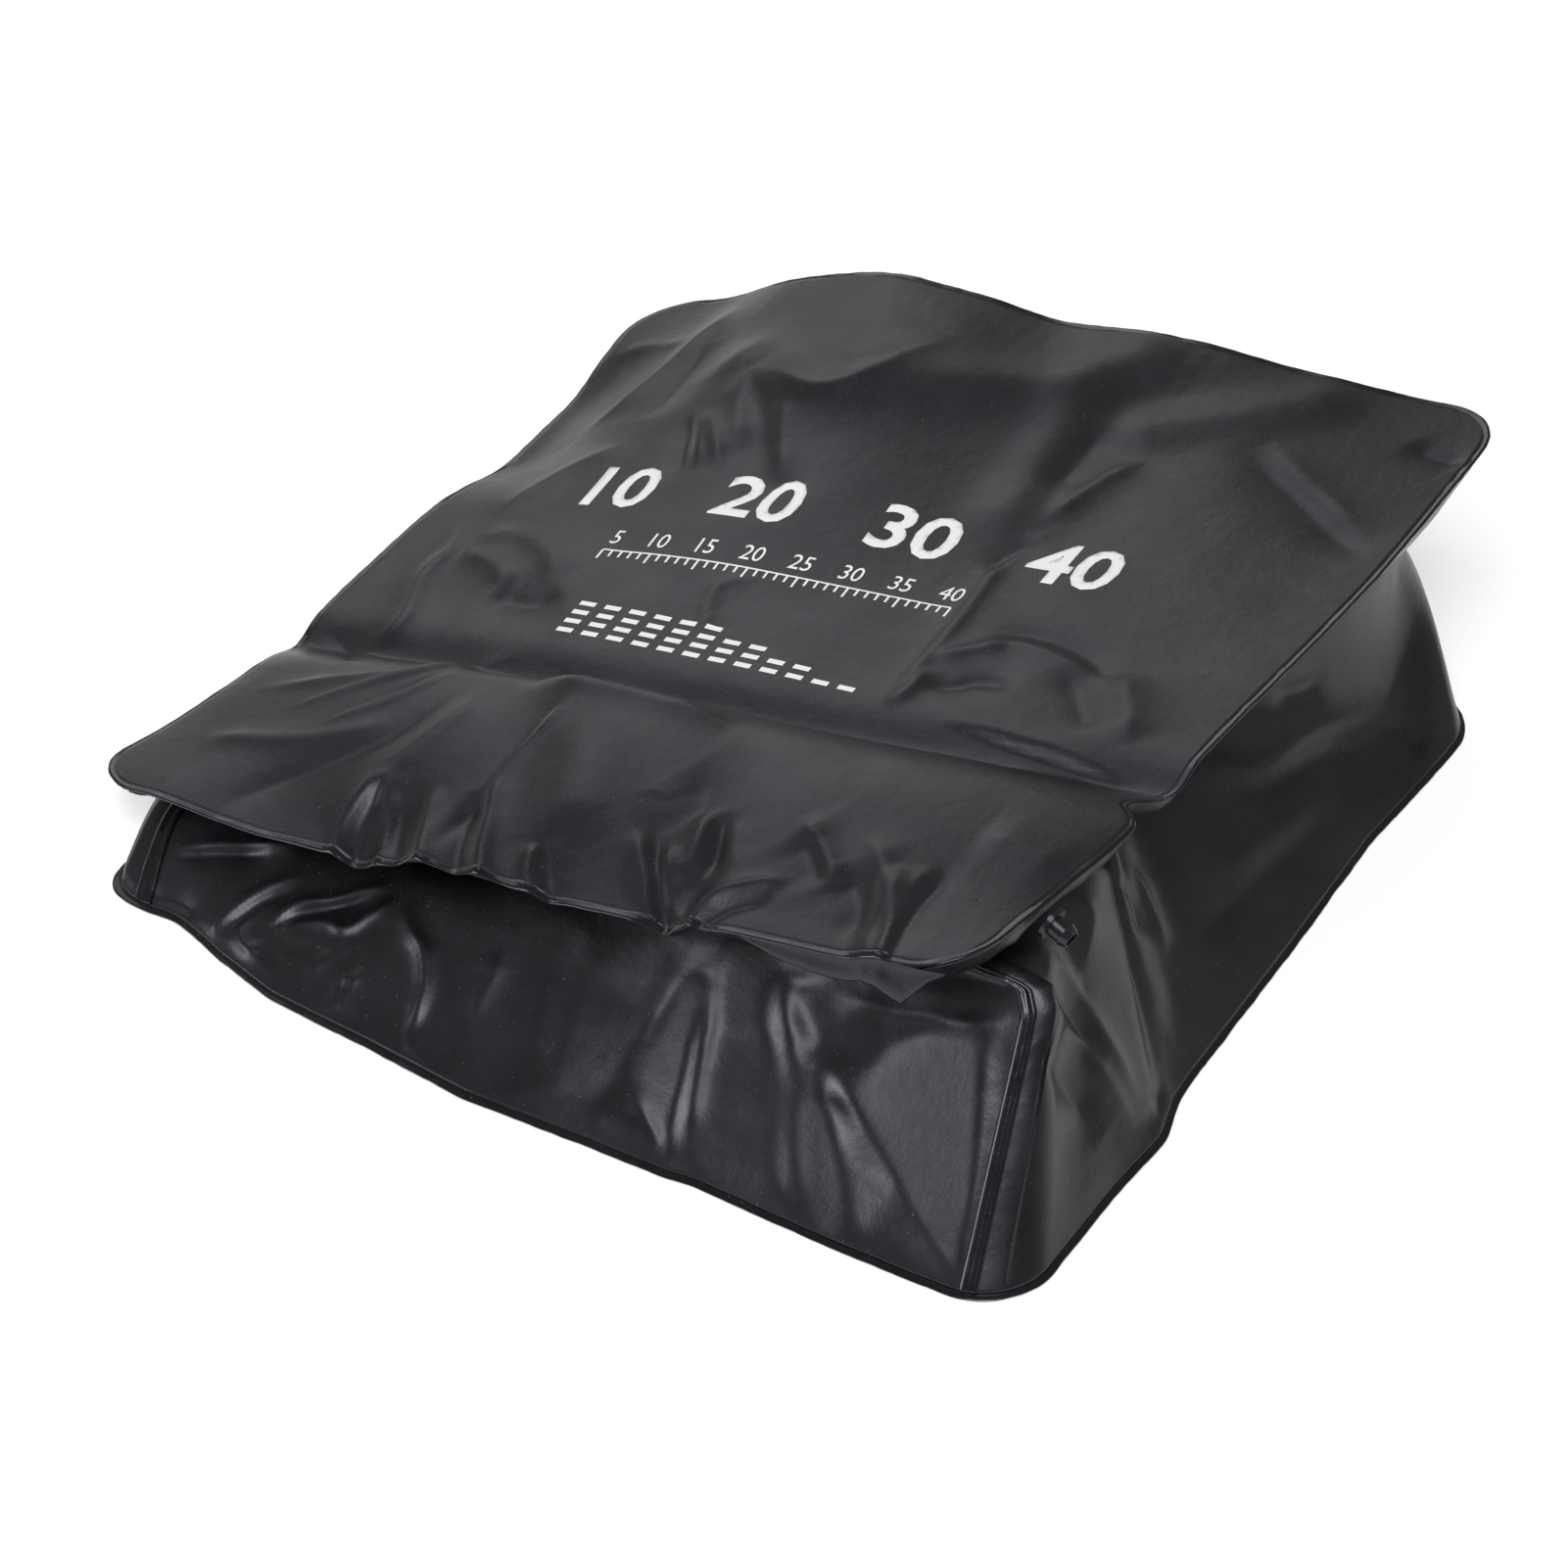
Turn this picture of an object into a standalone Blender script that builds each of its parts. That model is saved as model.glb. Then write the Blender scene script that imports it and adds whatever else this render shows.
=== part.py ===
"""Box-type camp shower bag of welded black PVC film, lying part empty with its top panel tilted.

Metres, +Z up. +X runs along the front edge to the right, +Y to the back. The origin is under the
middle of the whole bag, on the ground.
"""
import math

import bmesh
import bpy
from mathutils import Matrix, Vector

# Panels and gusset
PANEL_WIDTH = 0.420
PANEL_DEPTH = 0.400
GUSSET_HEIGHT = 0.240
CORNER_RADIUS = 0.028
FILM = 0.0008
SEAT_GAP = 0.0003
FRONT_BOW = 0.009

# Welded seams
BEAD_WIDTH = 0.005
BEAD_THICKNESS = 0.0016
CORNER_WELD_WIDTH = 0.004
CORNER_WELD_THICKNESS = 0.0012
CORNER_WELD_GAP = 0.0005
WELD_CORNER_SHARE = 0.75

# Where the top panel lies over the bottom panel
TOP_HEIGHT = 0.0735
TOP_TILT = math.radians(13.0)
TOP_SHIFT_X = -0.018
TOP_SHIFT_Y = 0.036
FLAP_SKEW = 0.016

# Relief of the top panel: packing crease, puffed front flap, hump at the back, sagging front seam
CREASE_DEPTH = 0.005
CREASE_HALF_WIDTH = 0.012
CREASE_SHARE = 0.31
CREASE_TURN_SHARE = 0.02
FLAP_CROWN = 0.0139
FLAP_RISE_POWER = 0.6
FLAP_FALL_POWER = 1.1
FLAP_ACROSS_POWER = 0.7
HUMP_HEIGHT = 0.034
HUMP_SHARE = 0.36
HUMP_SPREAD_SHARE = 0.24
HUMP_REACH_SHARE = 0.42
RIGHT_HUMP_HEIGHT = 0.006
RIGHT_HUMP_SHARE = 0.78
RIGHT_HUMP_SPREAD_SHARE = 0.12
FRONT_SAG = 0.007
FRONT_SAG_REACH_SHARE = 0.10

# Ridges and valleys of the top panel: the height, the half width, and the points that each runs
# through, as shares across and along the panel
PANEL_RIDGES = (
    (0.0050, 0.018, ((0.235, 0.824), (0.374, 0.787), (0.563, 0.881), (0.626, 0.950))),
    (0.0030, 0.014, ((0.684, 0.857), (0.756, 0.900), (0.814, 0.950))),
    (0.0026, 0.014, ((0.603, 0.880), (0.617, 0.683))),
    (0.0030, 0.018, ((0.388, 0.270), (0.473, 0.166), (0.504, 0.106))),
    (-0.0024, 0.014, ((0.253, 0.806), (0.370, 0.636))),
)

# Filler, on the lower half of the back wall
FILLER_PLACE_SHARE = 0.76
FILLER_LEVEL_SHARE = 0.48
FILLER_FLANGE_RADIUS = 0.022
FILLER_FLANGE_THICKNESS = 0.003
FILLER_FLANGE_ROUND = 0.0009
NECK_RADIUS = 0.0150
NECK_WALL = 0.0025
NECK_LENGTH = 0.0130
CAP_WALL = 0.0022
CAP_TOP = 0.0026
CAP_THREAD_ROOM = 0.0006
CAP_FOOT_ROOM = 0.0012
CAP_RIBS = 24
CAP_RIB_HEIGHT = 0.0009
CAP_RIB_WIDTH_SHARE = 0.45
CAP_DISH = 0.0009
CAP_DISH_RIM_SHARE = 0.72
CAP_DISH_FLOOR_SHARE = 0.66
CAP_EDGE_ROUND = 0.0012
GASKET_THICKNESS = 0.0016

# Outlet for the hose, on the right wall just under the top seam
OUTLET_PLACE_SHARE = 0.115
OUTLET_SEAM_ROOM = 0.0010
OUTLET_FLANGE_RADIUS = 0.0065
OUTLET_FLANGE_THICKNESS = 0.0020
SPIGOT_RADIUS = 0.0042
SPIGOT_BORE_RADIUS = 0.00275
SPIGOT_LENGTH = 0.0085
BARB_HEIGHT = 0.0006
BARB_LENGTH = 0.0030

# How far a hole's cutter stands clear of the film on each side
CUTTER_OVERRUN = 0.004

# How finely the film is divided
CORNER_STEPS = 3
SIDE_STEPS = 16
DEPTH_STEPS = 22
ROUND_STEPS = 40
SMOOTHING_ROUNDS = 2
SMOOTHING_SHARE = 0.25
SHARP_ANGLE = 35.0

# Places round the bag are counted from the front left corner (0) by the front right (2), back right
# (4) and back left (6) corners, and directions along it are taken over a small step
PLACES = 8
PLACE_STEP_SHARE = 0.01

# Folds of the gusset, a row for each place. A fold line's depth is its distance in from the top
# panel's edge, a share of half the gusset's height, and its level a share of the room below that
# panel. The outer fold also slips round the bag, anticlockwise, by a share of that half height. Each
# row holds the place, the outer fold's depth, level and slip, the inner fold's depth and level.
FOLD_SHARES = (
    (0.00, 0.14, 0.56, 0.00, 0.33, 0.72),
    (1.00, 0.30, 0.64, 0.00, 0.60, 0.78),
    (1.90, 0.12, 0.72, 0.30, 0.34, 0.83),
    (2.30, 0.20, 0.66, 0.16, 0.40, 0.80),
    (3.00, 0.52, 0.56, 0.00, 0.64, 0.74),
    (3.72, 0.14, 0.14, 0.00, 0.22, 0.66),
    (4.00, 0.16, 0.40, 0.00, 0.36, 0.78),
    (4.55, 0.30, 0.70, 0.00, 0.54, 0.80),
    (5.20, 0.80, 0.56, 0.00, 0.92, 0.74),
    (6.00, 0.34, 0.56, 0.00, 0.50, 0.72),
    (7.00, 0.75, 0.52, 0.00, 0.86, 0.74),
)
# The film hangs from the top seam before it folds in: the depth and level of that lip
LIP_DEPTH_SHARE = 0.04
LIP_LEVEL_SHARE = 0.885

# From the top panel's middle surface down to the film that hangs under its bead
HEAD_DROP = BEAD_THICKNESS / 2 + SEAT_GAP + FILM / 2

MATERIALS = {
    "film_top": ((0.012, 0.011, 0.013), 0.42),
    "film_wall": ((0.009, 0.009, 0.010), 0.28),
    "weld": ((0.006, 0.006, 0.007), 0.16),
    "moulding": ((0.008, 0.008, 0.009), 0.22),
    "gasket": ((0.030, 0.030, 0.030), 0.70),
}


def clear_scene():
    """Remove every object of the open file."""
    for item in list(bpy.data.objects):
        bpy.data.objects.remove(item, do_unlink=True)


def material(name):
    """Principled material of one of the named finishes."""
    found = bpy.data.materials.get(name)
    if found:
        return found
    colour, roughness = MATERIALS[name]
    made = bpy.data.materials.new(name)
    made.use_nodes = True
    shader = made.node_tree.nodes["Principled BSDF"]
    shader.inputs["Base Color"].default_value = (*colour, 1.0)
    shader.inputs["Roughness"].default_value = roughness
    shader.inputs["Metallic"].default_value = 0.0
    return made


def ease(value, low, high):
    """Smooth step from 0 at low to 1 at high."""
    t = min(max((value - low) / (high - low), 0.0), 1.0)
    return t * t * (3.0 - 2.0 * t)


def bell(value, middle, spread):
    """Bell curve of height 1."""
    return math.exp(-((value - middle) / spread) ** 2)


def hill(value, rise, fall):
    """Curve from 0 to a crown of 1 and back as the value goes from 0 to 1."""
    crown = (rise / (rise + fall)) ** rise * (fall / (rise + fall)) ** fall
    return value ** rise * (1.0 - value) ** fall / crown


def distance_to(u, v, line):
    """Distance over the panel from a point to a polyline, both given in shares."""
    gaps = []
    for (u0, v0), (u1, v1) in zip(line, line[1:]):
        run = Vector(((u1 - u0) * PANEL_WIDTH, (v1 - v0) * PANEL_DEPTH))
        away = Vector(((u - u0) * PANEL_WIDTH, (v - v0) * PANEL_DEPTH))
        share = min(max(away.dot(run) / run.length_squared, 0.0), 1.0)
        gaps.append((away - run * share).length)
    return min(gaps)


def shares_of(a, b):
    """Shares across and along a panel of a point given from the panel's middle."""
    return a / PANEL_WIDTH + 0.5, b / PANEL_DEPTH + 0.5


def relief(a, b):
    """Height of the top panel's film above its tilted plane."""
    u, v = shares_of(a, b)
    across = math.sin(math.pi * min(max(u, 0.0), 1.0))
    crease = CREASE_SHARE + CREASE_TURN_SHARE * (u - 0.5)
    flap = min(max((crease - v) / crease, 0.0), 1.0)
    height = -CREASE_DEPTH * bell(v, crease, CREASE_HALF_WIDTH / PANEL_DEPTH)
    height += (FLAP_CROWN * across ** FLAP_ACROSS_POWER
               * hill(flap, FLAP_RISE_POWER, FLAP_FALL_POWER))
    back = bell(v, 1.0, HUMP_REACH_SHARE)
    height += HUMP_HEIGHT * bell(u, HUMP_SHARE, HUMP_SPREAD_SHARE) * back
    height += RIGHT_HUMP_HEIGHT * bell(u, RIGHT_HUMP_SHARE, RIGHT_HUMP_SPREAD_SHARE) * back
    height -= FRONT_SAG * across * bell(v, 0.0, FRONT_SAG_REACH_SHARE)
    for rise, spread, line in PANEL_RIDGES:
        height += rise * bell(distance_to(u, v, line), 0.0, spread)
    return height


def skew(b):
    """How far the front flap has slid to the left."""
    return FLAP_SKEW * (1.0 - ease(shares_of(0.0, b)[1], 0.0, CREASE_SHARE))


def top_point(a, b, lift=0.0):
    """Point of the top panel, lift above its film, in the bottom panel's own frame."""
    along = Vector((math.cos(TOP_TILT), 0.0, math.sin(TOP_TILT)))
    normal = Vector((-math.sin(TOP_TILT), 0.0, math.cos(TOP_TILT)))
    middle = Vector((TOP_SHIFT_X, TOP_SHIFT_Y + b, TOP_HEIGHT))
    return middle + along * (a - skew(b)) + normal * (relief(a, b) + lift)


def bottom_point(a, b, lift=0.0):
    """Point of the bottom panel, whose front edge bows out, lift above the ground."""
    u = shares_of(a, b)[0]
    forward = max(-2.0 * b / PANEL_DEPTH, 0.0) ** 3
    bow = FRONT_BOW * 4.0 * u * (1.0 - u) * forward
    return Vector((a, b - bow, lift))


def room_below_top(x, y):
    """Height of the top panel's film over a point of the plan."""
    b = y - TOP_SHIFT_Y
    a = (x - TOP_SHIFT_X) / math.cos(TOP_TILT) + skew(b)
    rise = (a - skew(b)) * math.sin(TOP_TILT)
    return TOP_HEIGHT + rise + relief(a, b) * math.cos(TOP_TILT)


def round_corner(a, b, inset):
    """Move a point of a square-cornered grid so that the grid's outline has round corners."""
    reach_a = PANEL_WIDTH / 2 - inset
    reach_b = PANEL_DEPTH / 2 - inset
    radius = CORNER_RADIUS - inset
    s = (abs(a) - reach_a + radius) / radius
    t = (abs(b) - reach_b + radius) / radius
    if s <= 0.0 or t <= 0.0:
        return a, b
    round_a = reach_a - radius + radius * s * math.sqrt(1.0 - t * t / 2.0)
    round_b = reach_b - radius + radius * t * math.sqrt(1.0 - s * s / 2.0)
    return math.copysign(round_a, a), math.copysign(round_b, b)


def divisions(length, inset, steps):
    """Grid lines across one panel side: close in both corners, even between them."""
    reach = length / 2 - inset
    radius = CORNER_RADIUS - inset
    near = [reach - radius * i / CORNER_STEPS for i in range(CORNER_STEPS)]
    inner = reach - radius
    middle = [-inner + 2.0 * inner * i / steps for i in range(steps + 1)]
    return [-value for value in near] + middle + near[::-1]


def panel_grid(inset):
    """Rows of points that fill a rounded panel, each row from left to right."""
    across = divisions(PANEL_WIDTH, inset, SIDE_STEPS)
    along = divisions(PANEL_DEPTH, inset, DEPTH_STEPS)
    return [[round_corner(a, b, inset) for a in across] for b in along]


def outline(inset):
    """The panel's rounded outline, counted round from the front left corner's front end.

    Returns the points and, for each, its place as FOLD_SHARES counts it.
    """
    rows = panel_grid(inset)
    front = rows[0]
    right = [row[-1] for row in rows]
    back = rows[-1][::-1]
    left = [row[0] for row in rows][::-1]
    points = front[:-1] + right[:-1] + back[:-1] + left[:-1]
    half_a = PANEL_WIDTH / 2 - inset
    half_b = PANEL_DEPTH / 2 - inset
    places = []
    for count, side in enumerate((front, right, back, left)):
        for a, b in side[:-1]:
            run = (a / half_a, b / half_b, -a / half_a, -b / half_b)[count]
            places.append((2 * count + 1.0 + run) % PLACES)
    return points, places


def fold_row(place):
    """Shares of both folds at a place round the bag, smoothly between the given ones."""
    rows = list(FOLD_SHARES) + [(PLACES + FOLD_SHARES[0][0], *FOLD_SHARES[0][1:])]
    for low, high in zip(rows, rows[1:]):
        if low[0] <= place <= high[0]:
            t = ease(place, low[0], high[0])
            return [p + (q - p) * t for p, q in zip(low[1:], high[1:])]
    return list(rows[0][1:])


def smooth_corners(points):
    """Round the inner corners of a polyline by cutting them, its ends kept."""
    for _ in range(SMOOTHING_ROUNDS):
        cut = [points[0]]
        for p, q in zip(points, points[1:]):
            cut.append(p.lerp(q, SMOOTHING_SHARE))
            cut.append(p.lerp(q, 1.0 - SMOOTHING_SHARE))
        points = cut + [points[-1]]
        points = [points[0]] + points[2:-2] + [points[-1]]
    return points


def gusset_corners(flat, place):
    """Corners of the gusset's section: foot, outer fold, inner fold, lip and head.

    Each is a point of the plan with its level, the share of the room below the top panel.
    """
    foot = bottom_point(*flat)
    head = top_point(*flat, -HEAD_DROP)
    outer_depth, outer_level, outer_slip, inner_depth, inner_level = fold_row(place)
    half = GUSSET_HEIGHT / 2
    edge = Vector((head.x, head.y))
    outward = (edge - Vector((TOP_SHIFT_X, TOP_SHIFT_Y))).normalized()
    around = Vector((-outward.y, outward.x))
    corners = [Vector((foot.x, foot.y, 0.0))]
    for depth, level, slip in (
        (outer_depth, outer_level, outer_slip),
        (inner_depth, inner_level, 0.0),
        (LIP_DEPTH_SHARE, LIP_LEVEL_SHARE, 0.0),
        (0.0, 1.0, 0.0),
    ):
        spot = edge + (around * slip - outward * depth) * half
        corners.append(Vector((spot.x, spot.y, level)))
    return corners


def at_level(point):
    """Point of the bag for a point of the plan and its level below the top panel."""
    low = BEAD_THICKNESS + SEAT_GAP + FILM / 2
    high = room_below_top(point.x, point.y) - HEAD_DROP / math.cos(TOP_TILT)
    return Vector((point.x, point.y, low + point.z * (high - low)))


def gusset_section(flat, place):
    """Section of the gusset from the bottom seam to the top seam, its folds rounded."""
    return [at_level(point) for point in smooth_corners(gusset_corners(flat, place))]


def cut_outline(points, places, at):
    """Point of a closed outline at a place between its own points."""
    for i, near in enumerate(places):
        j = (i + 1) % len(places)
        step = (places[j] - near) % PLACES
        ahead = (at - near) % PLACES
        if ahead <= step:
            share = ahead / step
            p, q = points[i], points[j]
            return (p[0] + (q[0] - p[0]) * share, p[1] + (q[1] - p[1]) * share)
    return points[0]


def weld_places():
    """Places of the four corner welds, a little way into the rounded corners."""
    corner = WELD_CORNER_SHARE * (CORNER_RADIUS - BEAD_WIDTH / 2)
    run = 1.0 - corner / (PANEL_WIDTH / 2 - BEAD_WIDTH / 2)
    return {
        "front_left": 1.0 - run,
        "front_right": 1.0 + run,
        "back_right": 5.0 - run,
        "back_left": 5.0 + run,
    }


def grid_normals(rows, closed=False):
    """Unit normal at each point of a grid, from its neighbours along both directions."""
    last = len(rows) - 1
    normals = []
    for i, row in enumerate(rows):
        before = rows[i - 1] if closed or i else row
        after = rows[(i + 1) % len(rows)] if closed or i < last else row
        line = []
        for k in range(len(row)):
            along = after[k] - before[k]
            across = row[min(k + 1, len(row) - 1)] - row[max(k - 1, 0)]
            line.append(along.cross(across).normalized())
        normals.append(line)
    return normals


def film_object(name, rows, normals, thickness, finish, closed=False):
    """Solid sheet through rows of points, half its thickness on each side along the normals."""
    mesh = bpy.data.meshes.new(name)
    work = bmesh.new()
    sides = []
    for side in (0.5, -0.5):
        shift = side * thickness
        sides.append([[work.verts.new(point + normal * shift - ORIGIN)
                       for point, normal in zip(row, line)] for row, line in zip(rows, normals)])
    front, back = sides
    width = len(rows[0])
    steps = len(rows) if closed else len(rows) - 1
    for i in range(steps):
        j = (i + 1) % len(rows)
        for k in range(width - 1):
            work.faces.new((front[i][k], front[j][k], front[j][k + 1], front[i][k + 1]))
            work.faces.new((back[i][k], back[i][k + 1], back[j][k + 1], back[j][k]))
        for k in (0, width - 1):
            work.faces.new((front[i][k], back[i][k], back[j][k], front[j][k]))
    if not closed:
        for i in (0, len(rows) - 1):
            for k in range(width - 1):
                work.faces.new((front[i][k], front[i][k + 1], back[i][k + 1], back[i][k]))
    bmesh.ops.recalc_face_normals(work, faces=work.faces)
    work.to_mesh(mesh)
    work.free()
    mesh.shade_smooth()
    mesh.set_sharp_from_angle(angle=math.radians(SHARP_ANGLE))
    mesh.materials.append(material(finish))
    item = bpy.data.objects.new(name, mesh)
    bpy.context.collection.objects.link(item)
    return item


def turned_object(name, profile, finish, place):
    """Piece turned about its own Z from a closed profile of (radius, height) points."""
    mesh = bpy.data.meshes.new(name)
    work = bmesh.new()
    count = len(profile)
    rings = []
    for step in range(ROUND_STEPS):
        angle = 2.0 * math.pi * step / ROUND_STEPS
        rings.append([work.verts.new((r * math.cos(angle), r * math.sin(angle), z))
                      for r, z in profile])
    for step in range(ROUND_STEPS):
        here = rings[step]
        there = rings[(step + 1) % ROUND_STEPS]
        for k in range(count):
            n = (k + 1) % count
            work.faces.new((here[k], there[k], there[n], here[n]))
    bmesh.ops.remove_doubles(work, verts=work.verts, dist=SEAT_GAP / 100)
    bmesh.ops.dissolve_degenerate(work, edges=work.edges, dist=SEAT_GAP / 100)
    bmesh.ops.recalc_face_normals(work, faces=work.faces)
    work.to_mesh(mesh)
    work.free()
    mesh.shade_smooth()
    mesh.set_sharp_from_angle(angle=math.radians(SHARP_ANGLE))
    mesh.materials.append(material(finish))
    item = bpy.data.objects.new(name, mesh)
    bpy.context.collection.objects.link(item)
    item.matrix_world = place
    return item


def cut_hole(item, place, radius):
    """Cut a round hole through a sheet, along the Z of the place, with a hidden cutter."""
    mesh = bpy.data.meshes.new(item.name + "_cutter")
    work = bmesh.new()
    bmesh.ops.create_cone(work, cap_ends=True, segments=ROUND_STEPS, radius1=radius,
                          radius2=radius, depth=FILM + 2.0 * CUTTER_OVERRUN)
    work.to_mesh(mesh)
    work.free()
    cutter = bpy.data.objects.new(item.name + "_cutter", mesh)
    bpy.context.collection.objects.link(cutter)
    cutter.matrix_world = place
    cutter.hide_render = True
    cutter.display_type = "WIRE"
    hole = item.modifiers.new("hole", "BOOLEAN")
    hole.operation = "DIFFERENCE"
    hole.object = cutter


def outline_point(place):
    """Flat point of the seam's middle line at a place round the bag."""
    points, places = outline(BEAD_WIDTH / 2)
    return cut_outline(points, places, place)


def facet_spot(place, facet, share):
    """Point of the gusset's unrounded section, share of the way up one of its facets."""
    corners = gusset_corners(outline_point(place % PLACES), place % PLACES)
    return at_level(corners[facet].lerp(corners[facet + 1], share))


def fitting_frame(place, facet, share):
    """Frame on a facet of the gusset, share of the way up it: Z points out of the bag, Y up."""
    centre = facet_spot(place, facet, share)
    ahead = facet_spot(place + PLACE_STEP_SHARE, facet, share)
    along = ahead - facet_spot(place - PLACE_STEP_SHARE, facet, share)
    up = facet_spot(place, facet, 1.0) - facet_spot(place, facet, 0.0)
    out = along.cross(up).normalized()
    up = out.cross(along).normalized()
    along = up.cross(out)
    turn = Matrix((along, up, out)).transposed().to_4x4()
    return Matrix.Translation(centre - ORIGIN) @ turn


def bag_middle():
    """Middle of the ground that the laid bag covers, in the bottom panel's own frame."""
    edge = outline(0.0)[0]
    points = [bottom_point(*flat) for flat in edge] + [top_point(*flat) for flat in edge]
    return Vector([(max(p[k] for p in points) + min(p[k] for p in points)) / 2 for k in (0, 1)]
                  + [0.0])


def make_panels():
    """Bottom panel flat on the ground and top panel with its crease, flap and hump."""
    flat = panel_grid(BEAD_WIDTH + SEAT_GAP)
    for name, finish, place in (
        ("bottom_panel", "film_wall", lambda a, b: bottom_point(a, b, FILM / 2)),
        ("top_panel", "film_top", top_point),
    ):
        rows = [[place(*point) for point in row] for row in flat]
        film_object(name, rows, grid_normals(rows), FILM, finish)


def make_beads():
    """The two flat welded rims that join the panels to the gusset."""
    pairs = list(zip(outline(0.0)[0], outline(BEAD_WIDTH)[0]))
    half = BEAD_THICKNESS / 2
    for name, place in (
        ("bottom_weld_bead", lambda a, b: bottom_point(a, b, half)),
        ("top_weld_bead", top_point),
    ):
        rows = [[place(*outer), place(*inner)] for outer, inner in pairs]
        film_object(name, rows, grid_normals(rows, True), BEAD_THICKNESS, "weld", True)


def make_gusset():
    """Four walls and the four lap welds that join them near the corners.

    The sections run all the way round first, so that neighbouring pieces end face to face.
    """
    unit = PANEL_WIDTH / 2 - BEAD_WIDTH / 2
    half = CORNER_WELD_WIDTH / 2 / unit
    clear = half + CORNER_WELD_GAP / unit
    welds = weld_places()
    points, places = outline(BEAD_WIDTH / 2)
    edges = [place + shift for place in welds.values() for shift in (-clear, -half, half, clear)]
    kept = [place for place in places
            if all(abs(place - middle) > 2.0 * clear for middle in welds.values())]
    stations = sorted(kept + edges)
    rows = [gusset_section(cut_outline(points, places, place), place) for place in stations]
    normals = grid_normals(rows, True)
    for middle in welds.values():
        for near, far in ((-clear, -half), (half, clear)):
            i, j = stations.index(middle + near), stations.index(middle + far)
            shared = [(p + q).normalized() for p, q in zip(normals[i], normals[j])]
            normals[i] = normals[j] = shared

    def piece(name, low, high, thickness, finish):
        first = stations.index(low)
        count = (stations.index(high) - first) % len(stations) + 1
        picked = [(first + i) % len(stations) for i in range(count)]
        return film_object(name, [rows[i] for i in picked], [normals[i] for i in picked],
                           thickness, finish)

    walls = {
        "front_wall": ("front_left", "front_right"),
        "right_wall": ("front_right", "back_right"),
        "back_wall": ("back_right", "back_left"),
        "left_wall": ("back_left", "front_left"),
    }
    made = {name: piece(name, welds[low] + clear, welds[high] - clear, FILM, "film_wall")
            for name, (low, high) in walls.items()}
    for corner, place in welds.items():
        piece("corner_weld_" + corner, place - half, place + half, CORNER_WELD_THICKNESS, "weld")
    return made


def ring_profile(inner, outer, low, high):
    """Section of a plain ring, edges first at the outer foot."""
    return [(outer, low), (outer, high), (inner, high), (inner, low)]


def make_filler(back_wall):
    """Screw filler set into the back wall: moulded flange and neck, gasket and ribbed cap."""
    place = fitting_frame(4.0 + 2.0 * (1.0 - FILLER_PLACE_SHARE), 0, FILLER_LEVEL_SHARE)
    cut_hole(back_wall, place, FILLER_FLANGE_RADIUS + SEAT_GAP)
    half = FILLER_FLANGE_THICKNESS / 2
    rim = half + NECK_LENGTH
    bore = NECK_RADIUS - NECK_WALL
    neck = [
        (FILLER_FLANGE_RADIUS, -half), (FILLER_FLANGE_RADIUS, half - FILLER_FLANGE_ROUND),
        (FILLER_FLANGE_RADIUS - FILLER_FLANGE_ROUND, half), (NECK_RADIUS, half),
        (NECK_RADIUS, rim), (bore, rim), (bore, -half),
    ]
    turned_object("filler_neck", neck, "moulding", place)

    gasket_low = rim + SEAT_GAP
    gasket_high = gasket_low + GASKET_THICKNESS
    gasket = ring_profile(bore, NECK_RADIUS, gasket_low, gasket_high)
    turned_object("filler_gasket", gasket, "gasket", place)

    ceiling = gasket_high + SEAT_GAP
    top = ceiling + CAP_TOP
    foot = half + CAP_FOOT_ROOM
    hollow = NECK_RADIUS + CAP_THREAD_ROOM
    side = hollow + CAP_WALL
    cap = [
        (side, foot), (side, top - CAP_EDGE_ROUND), (side - CAP_EDGE_ROUND, top),
        (side * CAP_DISH_RIM_SHARE, top), (side * CAP_DISH_FLOOR_SHARE, top - CAP_DISH),
        (0.0, top - CAP_DISH),
        (0.0, ceiling), (hollow, ceiling), (hollow, foot),
    ]
    item = turned_object("filler_cap", cap, "moulding", place)
    add_ribs(item, side, foot, top - CAP_EDGE_ROUND)


def add_ribs(item, radius, low, high):
    """Join upright grip ribs to the outside of a turned cap."""
    mesh = bpy.data.meshes.new(item.name + "_ribs")
    work = bmesh.new()
    width = 2.0 * math.pi * radius / CAP_RIBS * CAP_RIB_WIDTH_SHARE
    depth = 2.0 * CAP_RIB_HEIGHT
    for count in range(CAP_RIBS):
        turn = Matrix.Rotation(2.0 * math.pi * (count + 0.5) / CAP_RIBS, 4, "Z")
        middle = Matrix.Translation(Vector((radius, 0.0, (low + high) / 2)))
        size = Matrix.Diagonal((depth, width, high - low, 1.0))
        bmesh.ops.create_cube(work, size=1.0, matrix=turn @ middle @ size)
    work.to_mesh(mesh)
    work.free()
    ribs = bpy.data.objects.new(item.name + "_ribs", mesh)
    bpy.context.collection.objects.link(ribs)
    ribs.matrix_world = item.matrix_world
    ribs.hide_render = True
    ribs.display_type = "WIRE"
    union = item.modifiers.new("ribs", "BOOLEAN")
    union.operation = "UNION"
    union.object = ribs


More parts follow.
